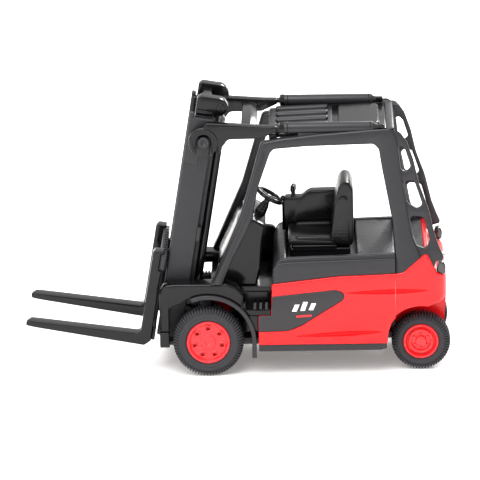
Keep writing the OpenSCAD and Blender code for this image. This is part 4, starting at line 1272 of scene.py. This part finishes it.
def roof():
    count = sizes().roof_slats
    half, width = 8.3, 1.5
    pitch = (2 * half - width) / (count - 1)
    bm = bmesh.new()
    plate(bm, rounded([(-10.3, -0.85, 0.1), (-10.3, 0.4, 0.3), (-1.7, 0.4, 0.3), (-1.7, -0.85, 0.1)]),
          -half, -half + width, on_roof_panel, 0.42)
    slats = repeat("roof_grille", bm, "row of copies", count, (0, pitch * MM, 0), finish("black_abs"))
    bm = bmesh.new()
    brick(bm, -11.0, -10.0, -half, half, -0.8, -0.06, on_roof_panel, 0.12)
    cross = new_object("roof_grille_bar", to_mesh(bm, "roof_grille_bar"))
    join(slats, cross)
    part("roof_grille", slats)
    bm = bmesh.new()
    brick(bm, -19.6, -10.9, -half, half, -0.8, 0, on_roof_panel, 0.12)
    # Raised pad with a soft edge
    pad = rounded([(-18.6, -6.9), (-11.9, -6.9), (-11.9, 6.9), (-18.6, 6.9)], 1.6)
    plate(bm, pad, -0.05, 0.5, lambda a, c, b: on_roof_panel(a, b, c), 0.35, steps=4)
    part("roof_panel", bm, "black_gloss")


def tilt_barrel(side, word):
    """A tilt cylinder: a plain tube with a gland nut in front and a clevis block behind."""
    place = along_x(truck_side(side), ROD_Y, ROD_Z)
    bm = bmesh.new()
    lathe(bm, turned([
        (0.48, -7.2, 0.03), (0.7, -7.25, 0.1), (0.84, -7.8, 0.08), (0.93, -8.0, 0.1), (0.93, -22.4, 0.18),
        (0.6, -22.75, 0.1), (0.5, -23.2, 0.1), (0, -23.2, 0), (0, -17.8, 0),
        (0.48, -17.8, 0)]), place, 40, ring=True)
    part(f"tilt_barrel_{word}", bm)
    # Hexagon gland nut round the front of the tube, and the clevis at its rear end
    bm = bmesh.new()
    lathe(bm, [(0.78, -7.3), (1.0, -7.35), (1.03, -8.05), (0.78, -8.1)], place, 8, ring=True)
    lathe(bm, circle(0.93, -8.6, 0.08, 8), place, 32, ring=True)
    lathe(bm, circle(0.93, -22.0, 0.07, 8), place, 32, ring=True)
    brick(bm, -24.3, -23.0, ROD_Y - 0.42, ROD_Y + 0.42, ROD_Z - 0.5, ROD_Z + 0.42, truck_side(side),
          0.15)
    rod(bm, about(truck_side(side), -23.8, ROD_Z), 0.25, ROD_Y - 0.55, ROD_Y + 0.55, 0.06, 16)
    piece(f"barrel_fittings_{word}", bm, "truck", finish("black_gloss"))


class FORKLIFT_OT_guard(Operator):
    """Overhead guard with its slotted rear pillars, slatted roof, roof pad and tilt cylinders"""
    bl_idname = "forklift.guard"
    bl_label = "Overhead guard"

    def execute(self, context):
        overhead_guard()
        roof()
        for side, word in SIDES:
            tilt_barrel(side, word)
        return {"FINISHED"}


# ---- Mast ----

MAST_DEPTH = 4.1
MAST_HALF = 7.7
RAIL_TOP = 33.6
LIP_TOP = 34.3
LIFT_U, LIFT_Y = -1.25, 4.65


def channel(bm, side):
    """Outer rail: a channel that opens towards the middle, with its corners rolled."""
    section = rounded([
        (0, 5.5, 0.15), (0, 7.7, 0.3), (MAST_DEPTH, 7.7, 0.3), (MAST_DEPTH, 5.5, 0.15),
        (MAST_DEPTH - 0.7, 5.5, 0.15), (MAST_DEPTH - 0.7, 6.9, 0.1), (0.7, 6.9, 0.1), (0.7, 5.5, 0.15)])
    plate(bm, section, -3.6, RAIL_TOP, along_mast(side), 0.12)


def outer_mast():
    bm = bmesh.new()
    for side in (1, -1):
        place = on_side(on_mast, side)
        channel(bm, side)
        brick(bm, MAST_DEPTH - 0.7, MAST_DEPTH, 6.4, MAST_HALF, RAIL_TOP - 0.2, LIP_TOP, place, 0.15)
        # Stepped doubler on the upper part of the rail
        plate(bm, rounded([(1.7, 25.9, 0.1), (MAST_DEPTH - 0.1, 25.9, 0.15),
                           (MAST_DEPTH - 0.1, RAIL_TOP - 0.1, 0.3), (0.15, RAIL_TOP - 0.1, 0.3),
                           (0.15, 27.3, 0.2), (1.7, 27.3, 0.2)]),
              MAST_HALF - 0.1, MAST_HALF + 0.12, place, 0.1)
        # Guide strip along the rail's rear edge, in front of the lift cylinder
        brick(bm, -0.62, 0.1, 5.0, 6.4, 2.4, RAIL_TOP - 3, place, 0.12)
        # Pivot boss on the rail's rear, below
        lathe(bm, turned([(0.75, 5.5, 0.05), (2, 5.5, 0.15), (2, 7.5, 0.3), (1.1, 7.55, 0.1),
                          (0.75, 7.4, 0.05)],
                         0), about(place, 0, 0), 40, ring=True)
    for v in (13, 27.5):
        brick(bm, -0.55, 0.1, -MAST_HALF, MAST_HALF, v, v + 2.4, on_mast, 0.18)
    brick(bm, -2.1, 0.1, -MAST_HALF, MAST_HALF, 2.2, 3.6, on_mast, 0.25)
    mast = new_object("mast_frame", to_mesh(bm, "mast_frame"))
    part("mast_frame", mast, "mast_satin", "mast")
    bm = bmesh.new()
    rod(bm, about(on_truck, MAST_PIVOT.x, MAST_PIVOT.z), 0.75, -7.5, 7.5, 0.1)
    part("mast_pivot_pin", bm, "drawn_steel", "mast")
    for side, word in SIDES:
        place = about(truck_side(side), TILT_PIN.x, TILT_PIN.z)
        bm = bmesh.new()
        lathe(bm, turned([(0, 7.6, 0), (0.9, 7.6, 0.05), (0.9, 10.0, 0.05), (0.88, 10.18, 0.12),
                          (0.5, 10.2, 0.08), (0.28, 9.98, 0.08), (0, 9.92, 0)]), place, 32)
        # Spread head of the pin
        for k in range(5):
            turn = 2 * math.pi * k / 5
            c = Vector((0.5 * math.cos(turn), 0.5 * math.sin(turn)))
            rod(bm, about(truck_side(side), TILT_PIN.x + c.x, TILT_PIN.z + c.y), 0.1, 10.0, 10.24,
                0.05, 8)
        part(f"tilt_pin_{word}", bm, "mast_satin", "mast")
        tube = lambda a, b, h, side=side: on_mast(LIFT_U + a, side * (LIFT_Y + b), h)
        bm = bmesh.new()
        lathe(bm, turned([(0, 3.6, 0), (0.7, 3.6, 0.05), (0.7, 30.6, 0.1), (0.78, 30.65, 0.05), (0.78, 31, 0.1),
                          (0.45, 31, 0.03), (0.45, 29, 0.03), (0, 29, 0)]), tube, 28)
        part(f"lift_barrel_{word}", bm, "black_gloss", "mast")
        bm = bmesh.new()
        rod(bm, tube, 0.4, 5.6, RAIL_TOP + 0.2, 0.05, 20)
        part(f"lift_rod_{word}", bm, "drawn_steel", "mast_stage")


def inner_mast():
    bm = bmesh.new()
    head_v, top_v = RAIL_TOP + 0.2, 36.8
    middle = (head_v + top_v) / 2
    for side in (1, -1):
        place = on_side(on_mast, side)
        section = rounded([(0.85, 4, 0.1), (1.6, 4, 0.1), (1.6, 5.4, 0.1), (2.6, 5.4, 0.1), (2.6, 4, 0.1),
                           (3.25, 4, 0.1), (3.25, 6.75, 0.15), (0.85, 6.75, 0.15)])
        plate(bm, section, -3.2, head_v + 0.02, along_mast(side), 0.1)
        # Head block: square in front, rolled over the lift rods behind
        outline = rounded([(-0.9, head_v, 1.4), (-2.35, middle, 1.4), (-0.9, top_v, 1.4), (2.7, top_v, 0.3),
                           (3.25, top_v - 0.5, 0.3), (3.25, head_v, 0.2)])
        plate(bm, outline, 3.5, 5.8, place, 0.14)
        # Roller on the head block's outer face, and a step along its foot
        rod(bm, about(place, -0.75, middle), 0.75, 5.7, 6.1, 0.15, 28)
        rod(bm, about(place, -0.75, middle), 0.3, 5.9, 6.25, 0.1, 16)
        brick(bm, 0.4, 3.1, 5.6, 6.2, head_v + 0.05, head_v + 0.75, place, 0.15)
    brick(bm, 0.9, 2.4, -3.6, 3.6, head_v + 0.4, top_v - 0.6, on_mast, 0.25)
    brick(bm, 0.85, 1.6, -4.1, 4.1, 2.2, 3.6, on_mast, 0.15)
    part("inner_mast", bm, "black_gloss", "mast_stage")


def carriage():
    bm = bmesh.new()
    top = rounded([(4.35, 7.6, 0.15), (4.35, 10.4, 0.15), (5.4, 10.4, 0.3), (5.4, 7.6, 0.2)])
    plate(bm, top, -9, 9, on_mast, 0.25)
    brick(bm, 4.35, 4.9, -7.85, 7.85, -4.6, -2.4, on_mast, 0.15)
    for side in (1, -1):
        place = on_side(on_mast, side)
        brick(bm, 4.35, 5.3, 2.6, 3.9, -2.5, 7.7, place, 0.2)
        brick(bm, 1.7, 4.45, 2.6, 3.6, -0.8, 9.8, place, 0.15)
        brick(bm, 1.7, 2.5, 3.5, 5.25, -0.8, 9.8, place, 0.12)
    # Teeth along the upper bar, where the fork hooks would be set
    for k in range(9):
        y = -6.0 + 1.5 * k
        brick(bm, 4.6, 5.15, y - 0.22, y + 0.22, 10.3, 10.62, on_mast, 0.1)
    part("fork_carriage", bm, "mast_satin", "carriage")


def fork(side, word):
    """A fork: an upright shank with its hook, and a blade that thins and rounds towards its tip."""
    tip_x = corners_of(f"fork_{word}")[1].x
    heel = -5.1
    tip_u = (tip_x - MAST_PIVOT.x + (heel + 0.15) * math.sin(MAST_LEAN)) / math.cos(MAST_LEAN)
    outline = rounded([
        (4.9, 7.6, 0), (5.4, 7.6, 0), (5.4, 10.4, 0), (4.9, 10.4, 0), (4.9, 10.9, 0.1), (6.3, 10.9, 0.3),
        (6.7, 10.4, 0.3), (6.8, heel + 2.1, 0.5), (7.2, heel + 1.72, 0.6), (tip_u - 0.7, heel + 1.2, 0.3),
        (tip_u, heel + 0.7, 0.3), (tip_u, heel + 0.1, 0.2), (5.9, heel - 0.25, 0.6), (4.9, heel + 0.7, 0.8)])
    outline = dense(outline, 0.5)
    reach = 2.4

    def place(u, y, v):
        near = max(0.0, min(1.0, (u - (tip_u - reach)) / reach))
        share = math.sqrt(max(0.0, 1 - (near * 0.93) ** 2.4))
        return on_mast(u, side * (FORK_Y + (y - FORK_Y) * (0.25 + 0.75 * share)), v)

    bm = bmesh.new()
    plate(bm, outline, FORK_Y - 1.2, FORK_Y + 1.2, place, 0.22)
    part(f"fork_{word}", bm, "black_gloss", "carriage")


def tilt_yoke():
    x, z = TILT_PIN.x, TILT_PIN.z
    slot, hook_r = 1.2, 2.45
    behind = rounded([(x - 2.38, 36.9, 0.2), (1.95, 38.2, 1.2), (1.0, 39.45, 0.9), (-4.3, 39.5, 0.8),
                      (-6.9, 40.7, 0.3), (-6.95, 41.5, 0.3), (-4.6, 41.56, 0.5), (x - 0.4, 42.25, 2.0),
                      (x, z + hook_r, 0)])
    front = arc(Vector((x, z)), hook_r, 88, -58, 26)
    opening = [Vector((x + slot, z - 2.1))] + arc(Vector((x, z)), slot, 0, 180,
                                                  16) + [Vector((x - slot, z - 2.1))]
    rear = arc(Vector((x, z)), hook_r, -120, -165, 8)
    outline = [Vector(p) for p in behind] + front + opening + rear
    bm = bmesh.new()
    for side in (1, -1):
        place = truck_side(side)
        plate(bm, outline, 8.3, 9.9, place, 0.22)
        # Raised rim round the hook, and a rib along the arm
        rim = arc(Vector((x, z)), hook_r - 0.15, 200, -35, 34) + arc(Vector((x, z)), hook_r - 0.75, -35,
                                                                     200, 34)
        plate(bm, rim, 9.8, 10.05, place, 0.12)
        plate(bm, rounded([(-6.2, 40.95, 0.15), (-6.2, 41.35, 0.15), (2.6, 41.6, 0.15),
                           (2.6, 41.1, 0.15)]), 9.8, 10.0,
              place, 0.1)
        rod(bm, along_x(place, ROD_Y, ROD_Z), 0.43, -17.5, -6.5, 0.08, 24)
    # Cross-member with two facets
    plate(bm, rounded([(-3.6, 40.2, 0.15), (-1.1, 40.2, 0.15), (-1.1, 41.4, 0.2), (-2.6, 41.4, 0.2),
                       (-3.6, 41.05, 0.2)]),
          -8.4, 8.4, edge=0.1)
    part("tilt_yoke", bm, "black_gloss", "yoke")


class FORKLIFT_OT_mast(Operator):
    """Outer and inner mast, lift cylinders, fork carriage, forks and the tilt yoke"""
    bl_idname = "forklift.mast"
    bl_label = "Mast and forks"

    def execute(self, context):
        outer_mast()
        inner_mast()
        carriage()
        for side, word in SIDES:
            fork(side, word)
        tilt_yoke()
        return {"FINISHED"}


# ---- Stage ----

class StageSettings(PropertyGroup):
    floor: FloatVectorProperty(
        name="Floor", description="Colour of the plain floor", subtype="COLOR", size=3,
        default=linear("#f7f6f5"))
    key_power: FloatProperty(
        name="Key light", description="Power of the large light overhead", default=3.2, unit="POWER")
    fill: FloatProperty(
        name="Surrounding light", description="Strength of the even light all round", default=0.85)
    camera_height: FloatProperty(
        name="Camera angle", description="Angle that the camera looks down by",
        default=math.radians(15.8), subtype="ANGLE")


# Where the camera looks, in millimetres, how far away it stands, and its lens
VIEW_MIDDLE = Vector((-0.46, 0, 19.81))
VIEW_DISTANCE = 787
VIEW_LENS = 358.6
VIEW_TURN, VIEW_ROLL = math.radians(1.0), math.radians(1.08)
FLOOR_REACH = 3.0


def lamp(name, power, size, place, target):
    """A soft square light at a place in millimetres, aimed at a point."""
    data = bpy.data.lights.new(name, "AREA")
    data.energy, data.size = power, size * MM
    obj = bpy.data.objects.new(name, data)
    bpy.context.scene.collection.objects.link(obj)
    obj.location = Vector(place) * MM
    obj.rotation_euler = (Vector(target) * MM - obj.location).to_track_quat("-Z", "Y").to_euler()
    return obj


class FORKLIFT_OT_stage(Operator):
    """A plain pale floor, soft studio light and the camera"""
    bl_idname = "forklift.stage"
    bl_label = "Stage"

    def execute(self, context):
        scene = context.scene
        settings = scene.forklift_stage
        mesh = bpy.data.meshes.new("floor")
        corners = [(x * FLOOR_REACH, y * FLOOR_REACH, 0) for x, y in ((-1, -1), (1, -1), (1, 1), (-1, 1))]
        mesh.from_pydata(corners, [], [(0, 1, 2, 3)])
        floor = new_object("floor", mesh)
        floor.data.materials.append(textured(
            "floor_paper", settings.floor, 0.9, spread=0.03, mottle=0.004, mottle_size=60, grain_size=4,
            grain_depth=0.01, Emission_Color=(1, 0.95, 0.92, 1), Emission_Strength=0.2))
        world = bpy.data.worlds.new("studio")
        scene.world = world
        world.use_nodes = True
        tree = world.node_tree
        tree.nodes.clear()
        # Bright overhead, dim towards the horizon, so that black mouldings keep their edges
        where = add(tree, "ShaderNodeTexCoord").outputs["Generated"]
        height_up = add(tree, "ShaderNodeSeparateXYZ", {"Vector": where}).outputs["Z"]
        glow = add(tree, "ShaderNodeMapRange", {
            "Value": height_up, "From Min": 0.1, "From Max": 1.0,
            "To Min": settings.fill * 0.66, "To Max": settings.fill * 1.85}, interpolation_type="SMOOTHSTEP")
        sky = add(tree, "ShaderNodeBackground", {"Color": (1, 1, 1, 1), "Strength": glow.outputs["Result"]})
        add(tree, "ShaderNodeOutputWorld", {"Surface": sky.outputs[0]})
        target = (-3, 0, 18)
        lamp("key", settings.key_power, 420, (120, 260, 520), target)
        lamp("side", settings.key_power * 0.35, 300, (420, 380, 220), target)
        lamp("back", settings.key_power * 0.5, 160, (-160, -420, 260), target)
        # The camera looks at the truck's left side from a little above
        data = bpy.data.cameras.new("camera")
        data.sensor_width = 36
        data.lens = VIEW_LENS
        camera = bpy.data.objects.new("camera", data)
        scene.collection.objects.link(camera)
        turn, height = VIEW_TURN, settings.camera_height
        away = Vector((-math.sin(turn) * math.cos(height), math.cos(turn) * math.cos(height), math.sin(height)))
        camera.location = (VIEW_MIDDLE + away * VIEW_DISTANCE) * MM
        look = away.to_track_quat("Z", "Y")
        camera.rotation_euler = (look.to_matrix() @ Matrix.Rotation(-VIEW_ROLL, 3, "Z")).to_euler()
        data.clip_start, data.clip_end = 0.01, 10
        scene.camera = camera
        scene.view_settings.view_transform = "Standard"
        return {"FINISHED"}


# ---- Add-on ----

STEPS = (FORKLIFT_OT_wheels, FORKLIFT_OT_casting, FORKLIFT_OT_base, FORKLIFT_OT_cab, FORKLIFT_OT_guard,
         FORKLIFT_OT_mast, FORKLIFT_OT_stage)


class FORKLIFT_PT_parts(Panel):
    """Sidebar panel with the settings and one button for each group of parts"""
    bl_idname = "FORKLIFT_PT_parts"
    bl_label = "Toy Forklift"
    bl_space_type = "VIEW_3D"
    bl_region_type = "UI"
    bl_category = "Forklift"

    def draw(self, context):
        scene = context.scene
        for group in (scene.forklift_colours, scene.forklift_sizes, scene.forklift_stage):
            box = self.layout.box()
            for name in group.__annotations__:
                box.prop(group, name)
        for step in STEPS:
            self.layout.operator(step.bl_idname)


CLASSES = (ForkliftColours, ForkliftSizes, StageSettings, *STEPS, FORKLIFT_PT_parts)


def register():
    for item in CLASSES:
        bpy.utils.register_class(item)
    bpy.types.Scene.forklift_colours = PointerProperty(type=ForkliftColours)
    bpy.types.Scene.forklift_sizes = PointerProperty(type=ForkliftSizes)
    bpy.types.Scene.forklift_stage = PointerProperty(type=StageSettings)


def unregister():
    del bpy.types.Scene.forklift_stage
    del bpy.types.Scene.forklift_sizes
    del bpy.types.Scene.forklift_colours
    for item in reversed(CLASSES):
        bpy.utils.unregister_class(item)


def main():
    register()
    for step in STEPS:
        group, name = step.bl_idname.split(".")
        getattr(getattr(bpy.ops, group), name)()
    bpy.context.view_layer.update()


if __name__ == "__main__":
    main()
